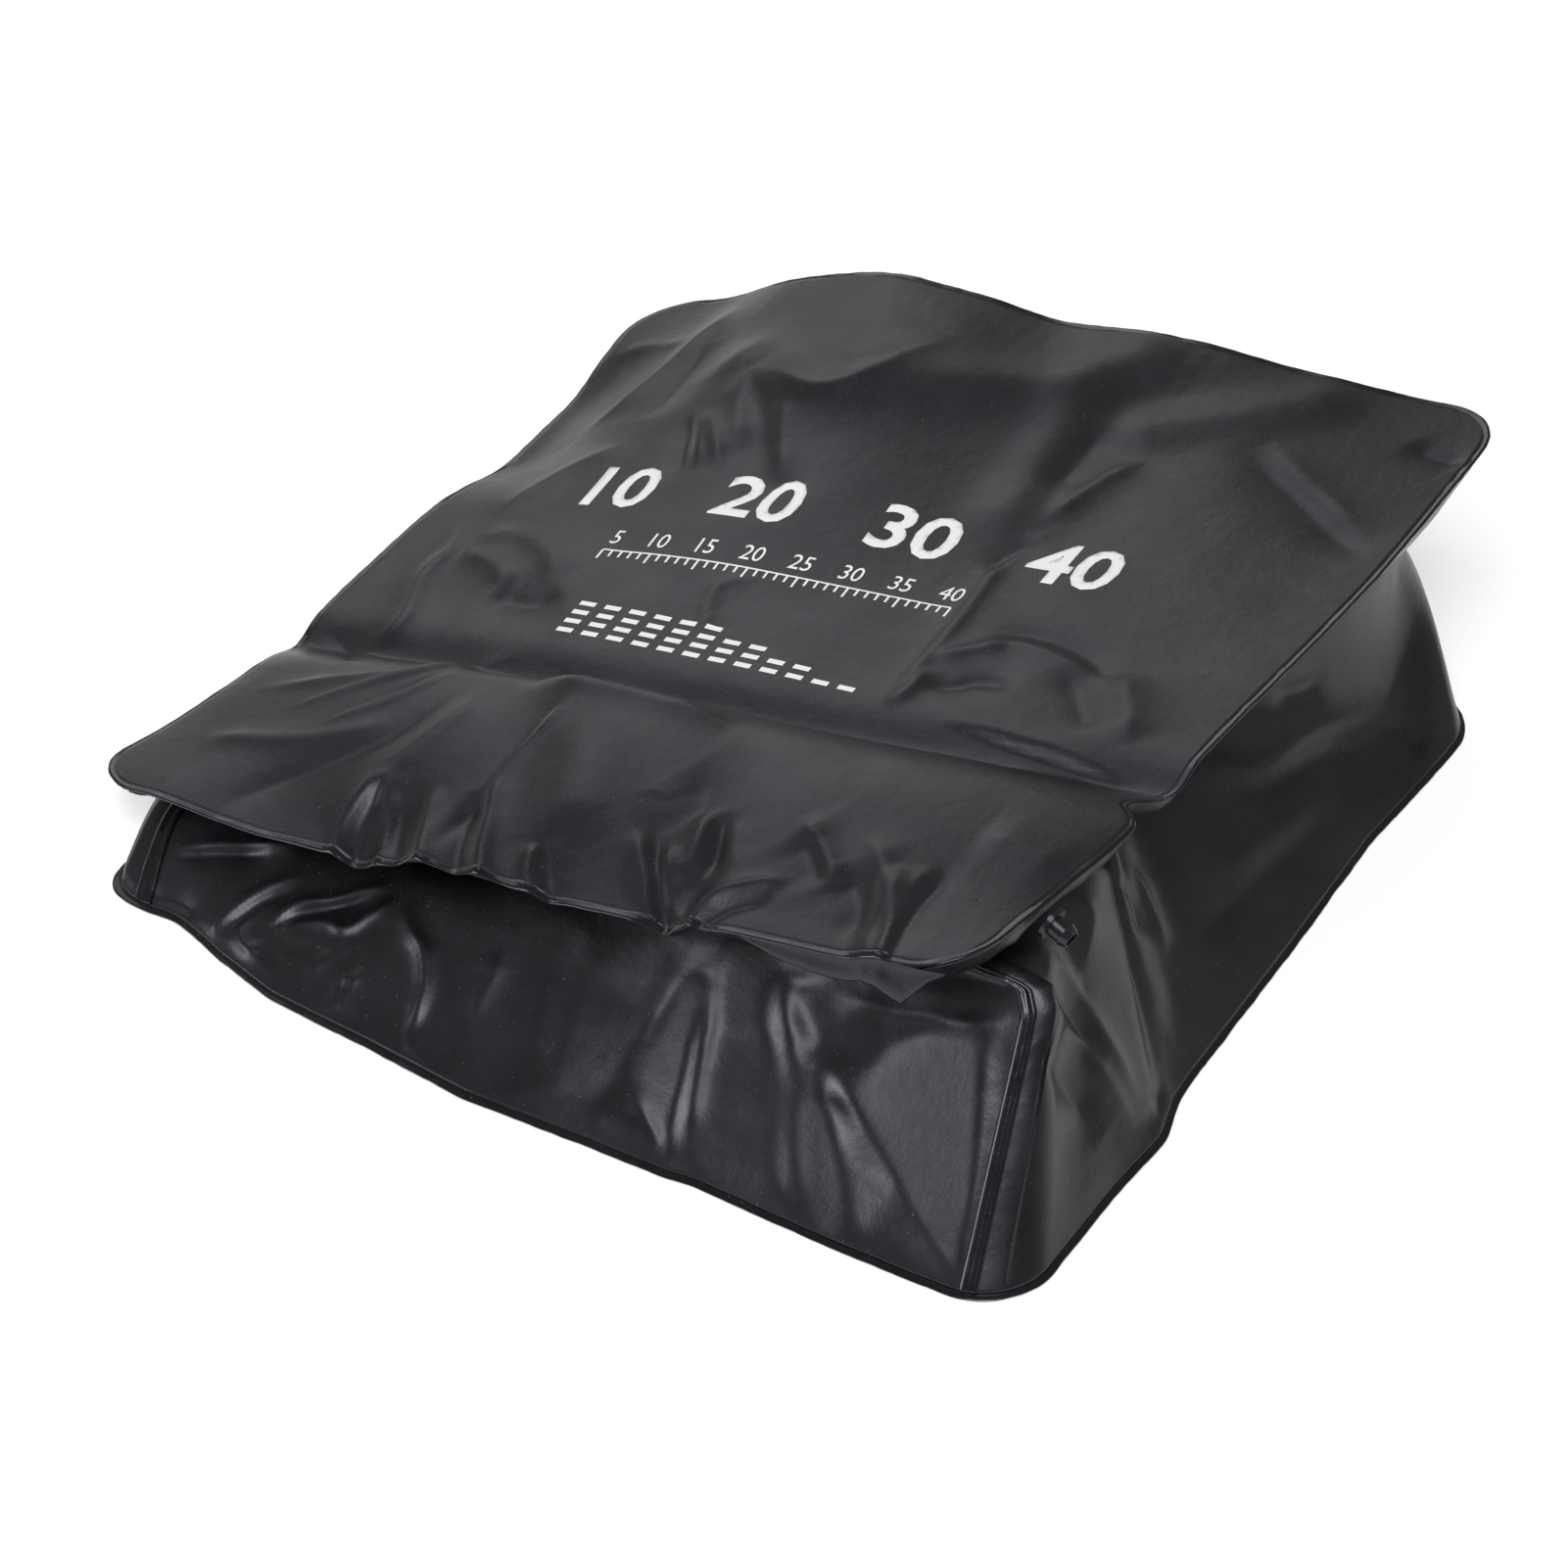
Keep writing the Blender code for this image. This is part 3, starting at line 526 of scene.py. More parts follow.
# %% Creases of the top panel
TOP_CREASES = (
    (0.0030, 0.0060, ((749, 308), (701, 353), (648, 398), (592, 440))),
    (-0.0024, 0.0090, ((724, 345), (690, 385), (655, 425))),
    (0.0016, 0.0060, ((622, 366), (650, 352), (702, 349))),
    (0.0027, 0.0080, ((500, 527), (560, 488), (600, 468), (655, 446))),
    (0.0019, 0.0030, ((711, 416), (711, 445), (712, 472))),
    (0.0019, 0.0030, ((718, 417), (728, 440), (733, 472))),
    (-0.0024, 0.0060, ((704, 420), (697, 455), (688, 486))),
    (0.0027, 0.0080, ((757, 372), (754, 415), (756, 458))),
    (0.0022, 0.0060, ((795, 398), (796, 450), (797, 492))),
    (0.0032, 0.0070, ((760, 372), (810, 391), (852, 391), (890, 375), (920, 362), (973, 338))),
    (-0.0022, 0.0080, ((1130, 430), (1100, 462), (1072, 500))),
    (0.0024, 0.0060, ((1168, 466), (1120, 492), (1065, 530))),
    (-0.0030, 0.0090, ((1262, 448), (1308, 488), (1350, 528), (1396, 570))),
    (0.0022, 0.0070, ((1292, 450), (1345, 498), (1400, 548))),
    (-0.0022, 0.0050, ((1436, 450), (1470, 463), (1498, 470))),
    (0.0016, 0.0035, ((1078, 536), (1040, 560), (1008, 590), (985, 622), (950, 664), (905, 712))),
    (-0.0019, 0.0050, ((1064, 548), (1030, 562), (1005, 582))),
    (0.0022, 0.0060, ((1000, 652), (1050, 657), (1095, 676), (1120, 700))),
    (-0.0024, 0.0060, ((1000, 642), (1055, 644), (1105, 662), (1140, 694))),
    (0.0024, 0.0080, ((1142, 680), (1150, 715), (1152, 756))),
    (-0.0022, 0.0070, ((1086, 676), (1102, 712), (1108, 745))),
    (0.0022, 0.0040, ((948, 668), (985, 662), (1030, 656))),
    (-0.0024, 0.0045, ((940, 690), (965, 696), (1000, 690), (1035, 700))),
    (0.0019, 0.0040, ((945, 678), (930, 700), (900, 716))),
    (0.0012, 0.0035, ((770, 588), (735, 592), (722, 612), (720, 646))),
    (0.0027, 0.0100, ((478, 545), (530, 543), (560, 560), (566, 592))),
    (-0.0027, 0.0080, ((500, 600), (540, 612), (578, 600))),
    (0.0022, 0.0060, ((470, 560), (505, 575), (520, 598))),
    (-0.0027, 0.0040, ((960, 738), (1000, 752), (1060, 772), (1120, 790), (1165, 806))),
    (0.0024, 0.0035, ((955, 728), (1005, 743), (1060, 757), (1110, 776), (1160, 800))),
    (-0.0019, 0.0040, ((360, 671), (345, 650), (330, 640))),
    (0.0027, 0.0060, ((359, 669), (411, 635), (425, 596), (442, 574), (467, 555), (479, 522))),
)
FLAP_CREASES = (
    (0.0020, 0.0030, ((470, 682), (430, 698), (375, 720), (325, 735))),
    (0.0020, 0.0030, ((515, 672), (440, 682), (370, 697), (290, 722))),
    (0.0020, 0.0035, ((520, 669), (420, 684), (335, 692), (262, 700))),
    (0.0026, 0.0060, ((205, 748), (270, 752), (335, 747), (400, 728))),
    (-0.0032, 0.0080, ((470, 700), (410, 738), (335, 770), (250, 805), (215, 830))),
    (0.0032, 0.0100, ((505, 698), (450, 742), (390, 788), (330, 842))),
    (-0.0026, 0.0060, ((575, 712), (530, 760), (490, 806), (455, 842), (428, 868))),
    (0.0029, 0.0035, ((586, 710), (548, 745), (510, 786), (488, 822))),
    (0.0032, 0.0050, ((722, 816), (712, 855), (704, 905))),
    (-0.0035, 0.0050, ((735, 822), (734, 855), (722, 892))),
    (0.0023, 0.0040, ((742, 826), (745, 856), (738, 886))),
    (-0.0029, 0.0080, ((815, 845), (830, 870), (838, 900))),
    (0.0032, 0.0050, ((818, 832), (838, 862), (852, 902))),
    (0.0023, 0.0080, ((1000, 846), (1040, 862), (1085, 890))),
    (-0.0029, 0.0120, ((700, 780), (720, 800), (700, 830), (640, 850))),
    (-0.0029, 0.0100, ((860, 880), (880, 920), (860, 960))),
    (0.0061, 0.0085, ((545, 690), (585, 697), (625, 705), (690, 722), (750, 742))),
)
SEAM_CREASES = (
    (0.0032, 0.0028, ((398, 786), (372, 812), (352, 836), (340, 868))),
    (-0.0026, 0.0035, ((392, 796), (374, 826), (362, 852), (358, 878))),
    (0.0029, 0.0030, ((398, 788), (396, 825), (390, 855), (384, 884))),
    (-0.0020, 0.0040, ((404, 800), (405, 840), (404, 878))),
    (0.0023, 0.0035, ((440, 800), (430, 842), (424, 878))),
    (0.0032, 0.0045, ((505, 788), (494, 840), (486, 892))),
    (-0.0029, 0.0050, ((488, 800), (470, 850), (462, 888))),
    (-0.0023, 0.0050, ((562, 845), (558, 880), (560, 914))),
    (0.0026, 0.0030, ((544, 856), (536, 884), (540, 910))),
    (0.0032, 0.0035, ((648, 840), (656, 885), (668, 946))),
    (-0.0035, 0.0035, ((664, 840), (670, 885), (678, 948))),
    (0.0032, 0.0030, ((678, 850), (682, 895), (688, 950))),
    (0.0032, 0.0030, ((800, 896), (755, 902), (722, 914), (700, 942))),
    (-0.0026, 0.0040, ((790, 910), (752, 918), (726, 930), (712, 944))),
    (0.0023, 0.0045, ((884, 845), (902, 880), (900, 920), (880, 978))),
    (0.0035, 0.0055, ((918, 878), (912, 925), (904, 980))),
    (-0.0035, 0.0040, ((968, 884), (935, 920), (905, 980))),
    (0.0029, 0.0050, ((950, 880), (924, 930), (895, 982))),
)
print("creases on the panel:", len(TOP_CREASES), "on its flap:", len(FLAP_CREASES + SEAM_CREASES))

# %% Top panel
TOP_COLUMNS = 221
TOP_ROWS = 211
TOP_CRUMPLE = ((0.0007, 0.060, 1), (0.00012, 0.018, 2))
SEAM_MIDDLE = BEAD_WIDTH / 2


def panel_places(columns, rows):
    """Rounded grid of places on a panel, out to the middle of its seam."""
    a = np.linspace(-1.0, 1.0, columns) * (PANEL_WIDTH / 2 - SEAM_MIDDLE)
    b = np.linspace(-1.0, 1.0, rows) * (PANEL_DEPTH / 2 - SEAM_MIDDLE)
    return round_corner(*np.meshgrid(a, b), SEAM_MIDDLE)


top_a, top_b = panel_places(TOP_COLUMNS, TOP_ROWS)
top_base = top_point(top_a, top_b)
top_lines = lay_creases(top_base.reshape(-1, 3), TOP_CREASES + FLAP_CREASES)
top_lines += lay_creases(top_base.reshape(-1, 3), SEAM_CREASES, to_seam=True)


def top_lift(points):
    """How far the creases and a little random crumple raise points near the top panel."""
    return crease_height(points, top_lines) + crumple_of(points, TOP_CRUMPLE)


top_grid = top_base + top_lift(top_base)[..., None] * tilt_normal
top_panel = sheet_piece("top_panel_film", top_grid)
print("top panel:", len(top_panel.data.polygons), "faces")

# %% [markdown]
# ## The white print
# The panel is screen printed in white with a plain fill scale of numbers and ticks, as water bags
# are. Text is made as a flat mesh, cut into small faces so that it can bend, and laid on the
# creased panel a few tenths of a millimetre above the middle of its film.

# %% Laying print on the panel
PRINT_LIFT = 0.00042
PRINT_FILM = 0.00006
PRINT_STEP = 0.0035


def panel_shares(nodes):
    """Flat places on the top panel of photograph pixels."""
    seen = pixels(top_grid).reshape(-1, 2)
    found = [int(np.argmin(((seen - node) ** 2).sum(axis=1))) for node in nodes]
    return np.stack([top_a.reshape(-1)[found], top_b.reshape(-1)[found]], axis=1)


def on_panel(flat):
    """Points just above the creased top panel over its flat places."""
    base = top_point(*flat.T)
    return base + (top_lift(base) + PRINT_LIFT)[:, None] * tilt_normal


def cut_small(piece):
    """Cuts a flat mesh along a square grid so that it can bend."""
    bpy.context.view_layer.objects.active = piece
    piece.select_set(True)
    bpy.ops.object.mode_set(mode="EDIT")
    flat = np.array([corner.co for corner in piece.data.vertices])
    for axis in (0, 1):
        for at in np.arange(flat[:, axis].min() + PRINT_STEP, flat[:, axis].max(), PRINT_STEP):
            bpy.ops.mesh.select_all(action="SELECT")
            place, normal = [0.0, 0.0, 0.0], [0.0, 0.0, 0.0]
            place[axis], normal[axis] = float(at), 1.0
            bpy.ops.mesh.bisect(plane_co=place, plane_no=normal)
    bpy.ops.mesh.select_all(action="SELECT")
    bpy.ops.mesh.quads_convert_to_tris()
    bpy.ops.object.mode_set(mode="OBJECT")
    piece.select_set(False)


def lay_print(piece, line, height):
    """Lays a flat mesh on the panel: its X along a line of two flat places, its Y up the panel."""
    start, end = line
    length = np.linalg.norm(end - start)
    flat = np.array([corner.co for corner in piece.data.vertices])
    flat[:, 0] = (flat[:, 0] - flat[:, 0].min()) / np.ptp(flat[:, 0]) * length
    flat[:, 1] *= height / flat[:, 1].max()
    piece.data.vertices.foreach_set("co", flat.reshape(-1).astype(np.float32))
    cut_small(piece)
    flat = np.array([corner.co for corner in piece.data.vertices])
    along = (end - start) / length
    up = np.array((-along[1], along[0]))
    laid = on_panel(start + flat[:, :1] * along + flat[:, 1:2] * up)
    piece.data.vertices.foreach_set("co", laid.reshape(-1).astype(np.float32))
    piece.location = (0.0, 0.0, 0.0)
    bpy.context.view_layer.objects.active = piece
    solid = piece.modifiers.new("thickness", "SOLIDIFY")
    solid.thickness = PRINT_FILM
    bpy.ops.object.modifier_apply(modifier=solid.name)
    return piece


print("print stands", PRINT_LIFT, "m above the middle of the film")

# %% Numerals and bars
TEXT_CURVE_STEPS = 3


def numerals(name, words, heavy=0.0):
    """Flat mesh of a line of numerals."""
    bpy.ops.object.text_add(location=(0.0, 0.0, 0.0))
    text = bpy.context.object
    text.name = name
    text.data.body = words
    text.data.offset = heavy
    text.data.resolution_u = TEXT_CURVE_STEPS
    text.select_set(True)
    bpy.ops.object.convert(target="MESH")
    piece = bpy.context.object
    piece.select_set(False)
    return piece


def bars(name, boxes):
    """Flat mesh of rectangles, each given by its left, right, foot and head."""
    made = []
    for left, right, foot, head in boxes:
        middle = ((left + right) / 2, (foot + head) / 2, 0.0)
        bpy.ops.mesh.primitive_plane_add(size=1.0, location=middle)
        bar = bpy.context.object
        bar.scale = (right - left, head - foot, 1.0)
        bpy.ops.object.transform_apply(location=True, rotation=False, scale=True)
        made.append(bar)
    for bar in made:
        bar.select_set(True)
    bpy.context.view_layer.objects.active = made[0]
    bpy.ops.object.join()
    piece = bpy.context.object
    piece.name = name
    piece.select_set(False)
    return piece


print("text curves have", TEXT_CURVE_STEPS, "steps")

# %% Print
BIG_LINE = ((592, 516), (1128, 606))
SMALL_LINE = ((622, 553), (980, 614))
BAND_LINE = ((598, 612), (900, 676))
BIG_NUMBERS = "10   20   30   40"
BIG_HEIGHT = 0.026
BIG_WEIGHT = 0.02
SMALL_NUMBERS = "5    10    15    20    25    30    35    40"
SMALL_HEIGHT = 0.0085
TICKS = 36
LONG_TICK_EVERY = 5
TICK_HALF_WIDTH = 0.11
SHORT_TICK_FOOT = 0.35
RULER_LINE_HEAD = 1.14
RULER_HEIGHT = 0.0065
RULER_OFFSET = (0.0, -0.0105)
BAND_ROWS = 4
BAND_BARS = 12
BAND_BARS_LOST = 2
BAND_BAR_WIDTH = 0.62
BAND_BAR_HEIGHT = 0.45
BAND_HEIGHT = 0.020
BAND_OFFSET = (0.0, -0.022)

big_line, small_line, band_line = (panel_shares(line) for line in (BIG_LINE, SMALL_LINE, BAND_LINE))
prints = [lay_print(numerals("scale_numbers_large", BIG_NUMBERS, BIG_WEIGHT), big_line, BIG_HEIGHT),
          lay_print(numerals("scale_numbers_small", SMALL_NUMBERS), small_line, SMALL_HEIGHT)]
tick_boxes = [(i - TICK_HALF_WIDTH, i + TICK_HALF_WIDTH,
               SHORT_TICK_FOOT if i % LONG_TICK_EVERY else 0.0, 1.0) for i in range(TICKS)]
ruler = bars("scale_ruler", tick_boxes + [(0.0, TICKS - 1.0, 1.0, RULER_LINE_HEAD)])
prints.append(lay_print(ruler, small_line + RULER_OFFSET, RULER_HEIGHT))
band_boxes = [(float(i), i + BAND_BAR_WIDTH, float(row), row + BAND_BAR_HEIGHT)
              for row in range(BAND_ROWS) for i in range(BAND_BARS - BAND_BARS_LOST * row)]
prints.append(lay_print(bars("scale_bands", band_boxes), band_line + BAND_OFFSET, BAND_HEIGHT))
print("print pieces:", [piece.name for piece in prints])

# %% [markdown]
# ## The gusset
# The band of film between the panels lies in folds, like an accordion. Round the bag the folds
# change their depth and their level. A section of the band at each place is a polyline through the
# folds. Cutting its corners a few times rounds it, as film bends, and the sections together make
# the band. Places are counted round the bag, two to a side, from the front left corner.

# %% Sizes of the gusset
GUSSET_HEIGHT = 0.240
PLACES = 8
FOLD_SHARES = (
    (0.00, 0.14, 0.56, 0.00, 0.33, 0.72),
    (1.00, 0.30, 0.64, 0.00, 0.60, 0.78),
    (1.90, 0.10, 0.69, 0.38, 0.34, 0.83),
    (2.30, 0.20, 0.66, 0.18, 0.40, 0.80),
    (3.00, 0.52, 0.56, 0.00, 0.64, 0.74),
    (3.72, 0.14, 0.14, 0.00, 0.22, 0.66),
    (4.00, 0.16, 0.40, 0.00, 0.36, 0.78),
    (4.55, 0.30, 0.70, 0.00, 0.54, 0.80),
    (5.20, 0.80, 0.56, 0.00, 0.92, 0.74),
    (6.00, 0.34, 0.56, 0.00, 0.50, 0.72),
    (7.00, 0.75, 0.52, 0.00, 0.86, 0.74),
)
WELD_CORNER_SHARE = 0.75
LIP_DEPTH_SHARE = 0.04
LIP_LEVEL_SHARE = 0.885
SECTION_ROUNDS = 4
CORNER_CUT = 0.25
SHARP_FOLD_CUT = 0.08
SHARP_FOLD_PLACE = 1.92
SHARP_FOLD_SPREAD = 0.25
SEAM_SPACING = 0.0017
PLACE_MARGIN = 0.002
HALF_WIDTH = PANEL_WIDTH / 2 - SEAM_MIDDLE
print("the gusset's film is", GUSSET_HEIGHT, "m high when it is pulled flat")

# %% Outline and seam


def outline(inset, spacing):
    """Flat points and places of a panel's rounded outline, counted from the front left corner."""
    half_a, half_b = PANEL_WIDTH / 2 - inset, PANEL_DEPTH / 2 - inset
    run_a = np.arange(-half_a, half_a, spacing)
    run_b = np.arange(-half_b, half_b, spacing)
    sides = ((run_a, np.full_like(run_a, -half_b)), (np.full_like(run_b, half_a), run_b),
             (-run_a, np.full_like(run_a, half_b)), (np.full_like(run_b, -half_a), -run_b))
    flats, places = [], []
    for count, (a, b) in enumerate(sides):
        a, b = round_corner(a, b, inset)
        flats.append(np.stack([a, b], axis=1))
        places.append(2 * count + 1.0 + (a / half_a, b / half_b, -a / half_a, -b / half_b)[count])
    return np.concatenate(flats), np.concatenate(places)


seam_flats, seam_places = outline(SEAM_MIDDLE, SEAM_SPACING)


def seam_between(low, high):
    """Flat points and places of the seam's middle line between two places."""
    turns = np.concatenate([seam_places, seam_places + PLACES])
    flats = np.concatenate([seam_flats, seam_flats])
    inside = turns[(turns > low + PLACE_MARGIN) & (turns < high - PLACE_MARGIN)]
    places = np.concatenate([[low], inside, [high]])
    return np.stack([np.interp(places, turns, flats[:, k]) for k in (0, 1)], axis=1), places


print("the seam has", len(seam_places), "points")

# %% Sections of the gusset


def fold_shares(places):
    """Fold depths and levels at places round the bag."""
    rows = np.array(FOLD_SHARES + ((PLACES,) + FOLD_SHARES[0][1:],))
    places = places % PLACES
    low = np.clip(np.searchsorted(rows[:, 0], places, side="right") - 1, 0, len(rows) - 2)
    t = ease(places, rows[low, 0], rows[low + 1, 0])[:, None]
    return rows[low, 1:] * (1.0 - t) + rows[low + 1, 1:] * t


def gusset_grid(flats, places, levels):
    """Points of the gusset: a row for each level from the bottom seam up, a column for a place."""
    foot = bottom_point(*flats.T)
    head = top_point(*flats.T, -HEAD_DROP)
    outer_depth, outer_level, slip, inner_depth, inner_level = fold_shares(places).T
    outward = head[:, :2] - (PANEL_MIDDLE[:2] + TOP_SHIFT)
    outward /= np.linalg.norm(outward, axis=1, keepdims=True)
    around = np.stack([-outward[:, 1], outward[:, 0]], axis=1)
    line = [np.column_stack([foot[:, :2], np.zeros(len(foot))])]
    for depth, level, turn in ((outer_depth, outer_level, slip), (inner_depth, inner_level, 0.0),
                               (LIP_DEPTH_SHARE, LIP_LEVEL_SHARE, 0.0), (0.0, 1.0, 0.0)):
        depth, turn = (np.broadcast_to(share, len(foot))[:, None] for share in (depth, turn))
        spot = head[:, :2] + (around * turn - outward * depth) * GUSSET_HEIGHT / 2
        line.append(np.column_stack([spot, np.broadcast_to(level, len(foot))]))
    sharp = bell(places % PLACES, SHARP_FOLD_PLACE, SHARP_FOLD_SPREAD)[:, None]
    share = CORNER_CUT + (SHARP_FOLD_CUT - CORNER_CUT) * sharp
    for _ in range(SECTION_ROUNDS):
        cut = [line[0]]
        for p, q in zip(line, line[1:]):
            cut += [p + (q - p) * share, p + (q - p) * (1.0 - share)]
        line = [cut[0]] + cut[2:-1] + [line[-1]]
    line = np.array(line)
    low = BEAD_THICKNESS + SEAT_GAP + FILM / 2
    high = room_below_top(line[..., 0], line[..., 1]) - HEAD_DROP / math.cos(TOP_TILT)
    line[..., 2] = low + line[..., 2] * (high - low)
    lengths = np.linalg.norm(np.diff(line, axis=0), axis=2)
    run = np.concatenate([np.zeros((1, len(foot))), np.cumsum(lengths, axis=0)])
    grid = np.empty((levels, len(foot), 3))
    for i in range(len(foot)):
        even = np.linspace(0.0, run[-1, i], levels)
        for k in range(3):
            grid[:, i, k] = np.interp(even, run[:, i], line[:, i, k])
    return grid


weld_run = 1.0 - WELD_CORNER_SHARE * (CORNER_RADIUS - SEAM_MIDDLE) / HALF_WIDTH
WELD_PLACES = {"front_left": 1.0 - weld_run, "front_right": 1.0 + weld_run,
               "back_right": 5.0 - weld_run, "back_left": 5.0 + weld_run}
print("corner welds at places", {name: round(place, 3) for name, place in WELD_PLACES.items()})

# %% [markdown]
# ## Creases of the four walls
# Each wall is a stretch of the gusset from weld to weld. The photograph shows the front wall and
# the right wall, so their creases are laid by pixels. The front wall also has flat facets: its film
# is folded along lines whose nodes are pixels and a height in millimetres, inside a rim that stays
# level, and three of the facets are pulled quite flat. The back and the left wall get wrinkles of
# the same kind in shares of the wall, because they are seen from other sides.

# %% Creases of the front wall
FRONT_CREASES = (
    (0.0020, 0.0032, ((176, 861), (200, 860), (250, 860), (318, 856))),
    (-0.0020, 0.0040, ((176, 872), (210, 868), (275, 868))),
    (-0.0018, 0.0070, ((135, 912), (170, 918), (200, 934))),
    (0.0020, 0.0024, ((302, 890), (262, 908), (230, 930), (214, 948), (216, 966))),
    (-0.0018, 0.0030, ((300, 900), (262, 918), (238, 938), (226, 958))),
    (0.0020, 0.0024, ((400, 896), (345, 914), (300, 920), (270, 942), (252, 953))),
    (-0.0020, 0.0035, ((380, 910), (335, 924), (300, 930), (274, 950))),
    (0.0024, 0.0026, ((404, 913), (376, 932), (350, 948), (334, 939), (290, 942))),
    (0.0016, 0.0028, ((246, 930), (242, 950), (252, 968), (268, 958))),
    (0.0008, 0.0060, ((280, 975), (305, 968), (330, 955))),
    (0.0012, 0.0050, ((300, 995), (335, 975), (365, 955))),
    (0.0016, 0.0028, ((372, 984), (350, 1008), (338, 1040))),
    (-0.0014, 0.0028, ((352, 994), (340, 1016), (330, 1040))),
    (0.0026, 0.0032, ((414, 918), (414, 942), (431, 966), (432, 1000), (424, 1030), (411, 1062))),
    (0.0014, 0.0040, ((411, 1052), (420, 1072), (446, 1088))),
    (0.0010, 0.0040, ((506, 962), (503, 990), (488, 1016), (476, 1040))),
    (0.0020, 0.0060, ((1038, 1040), (1000, 1044), (950, 1036), (895, 1028), (850, 1012))),
)
FRONT_RIM = ((115, 905), (210, 975), (300, 1035), (410, 1090), (500, 1135), (594, 1168),
             (683, 1203), (760, 1238), (824, 1264), (900, 1295), (982, 1326), (1001, 1240),
             (1013, 1160), (1026, 1080), (1037, 1038), (1000, 1030), (950, 1018), (900, 1008),
             (850, 998), (800, 985), (740, 970), (680, 958), (600, 943), (520, 925), (440, 905),
             (380, 898), (300, 880), (200, 862), (120, 880))
FRONT_FOLDS = (
    ((697, 998, -1.0), (664, 1046, -3.0), (638, 1084, -3.0), (618, 1124, -2.0), (606, 1160, 0.0)),
    ((718, 1000, 1.0), (708, 1050, 2.6), (698, 1100, 3.0), (690, 1150, 2.0), (682, 1190, 0.0)),
    ((724, 1002, -2.0), (716, 1050, -3.0), (705, 1102, -3.0), (696, 1150, -1.5)),
    ((737, 1010, 0.5), (733, 1055, 1.2), (722, 1102, 1.2), (711, 1150, 0.5)),
    ((618, 1138, 1.0), (650, 1160, 1.2), (676, 1184, 0.5)),
    ((640, 1112, -1.5), (660, 1140, -2.0), (674, 1160, -1.0)),
    ((790, 1008, 0.5), (788, 1050, 1.0), (797, 1098, 0.0)),
    ((802, 1002, -2.4), (798, 1040, -3.2), (806, 1086, -2.0)),
    ((824, 1034, 1.0), (836, 1066, 1.0), (842, 1088, -1.0)),
    ((852, 1105, -3.0), (900, 1077, -2.6), (955, 1048, -1.2)),
    ((854, 1112, -3.0), (880, 1150, -3.2), (920, 1210, -3.2), (958, 1268, -1.6)),
    ((1006, 1078, 1.6), (1000, 1140, 2.2), (990, 1220, 2.2), (976, 1280, 0.8)),
    ((1017, 1080, 0.6), (1008, 1160, 0.8), (997, 1240, 0.6), (985, 1296, 0.2)),
    ((813, 1128, -1.2), (812, 1185, -1.6), (819, 1246, -0.4)),
    ((843, 1124, 0.8), (858, 1185, 1.4), (876, 1270, 0.4)),
    ((795, 1140, 0.2), (792, 1190, 0.6), (797, 1236, 0.2)),
    ((560, 1000, -1.0), (545, 1060, -1.5), (520, 1110, -0.5)),
    ((600, 990, 0.8), (580, 1050, 1.0), (560, 1110, 0.5)),
)
FRONT_PLANES = (
    ((860, 1112), (900, 1085), (955, 1062), (1005, 1075), (1002, 1150), (996, 1215), (978, 1280),
     (958, 1266), (918, 1208), (878, 1148)),
    ((700, 1004), (724, 1000), (710, 1052), (699, 1102), (690, 1150), (682, 1178), (642, 1106),
     (652, 1082), (676, 1042)),
    ((815, 1130), (841, 1126), (856, 1188), (873, 1268), (842, 1260), (823, 1240), (814, 1185)),
)
print("front wall:", len(FRONT_CREASES), "creases and", len(FRONT_FOLDS), "fold lines")

# %% Creases of the other walls
RIGHT_CREASES = (
    (0.0026, 0.0050, ((1062, 960), (1085, 986), (1110, 1026), (1138, 1068), (1168, 1120))),
    (-0.0024, 0.0050, ((1055, 975), (1078, 1005), (1102, 1042), (1130, 1084))),
    (0.0022, 0.0050, ((1048, 998), (1098, 1050), (1138, 1108), (1166, 1152))),
    (-0.0030, 0.0080, ((1060, 1060), (1100, 1110), (1130, 1160))),
    (0.0014, 0.0040, ((1034, 955), (1048, 972), (1062, 986))),
    (0.0020, 0.0060, ((1120, 872), (1141, 902), (1151, 942), (1168, 990))),
    (-0.0020, 0.0050, ((1140, 880), (1160, 915), (1172, 960))),
    (0.0018, 0.0060, ((1098, 890), (1116, 930), (1110, 970), (1098, 1002))),
    (0.0018, 0.0060, ((1160, 880), (1178, 922), (1196, 974))),
    (-0.0020, 0.0060, ((1190, 1104), (1190, 1130), (1186, 1160))),
    (0.0024, 0.0080, ((1232, 766), (1262, 785), (1295, 776), (1340, 748), (1384, 732),
                      (1430, 714))),
    (-0.0024, 0.0080, ((1240, 795), (1290, 800), (1340, 775), (1400, 750))),
    (0.0018, 0.0060, ((1300, 700), (1330, 695), (1356, 680))),
    (-0.0016, 0.0060, ((1300, 714), (1332, 708), (1360, 694))),
    (-0.0018, 0.0060, ((1430, 725), (1440, 750), (1458, 764))),
    (0.0020, 0.0080, ((1230, 900), (1290, 860), (1350, 810))),
    (-0.0022, 0.0080, ((1220, 960), (1290, 890), (1370, 820))),
)
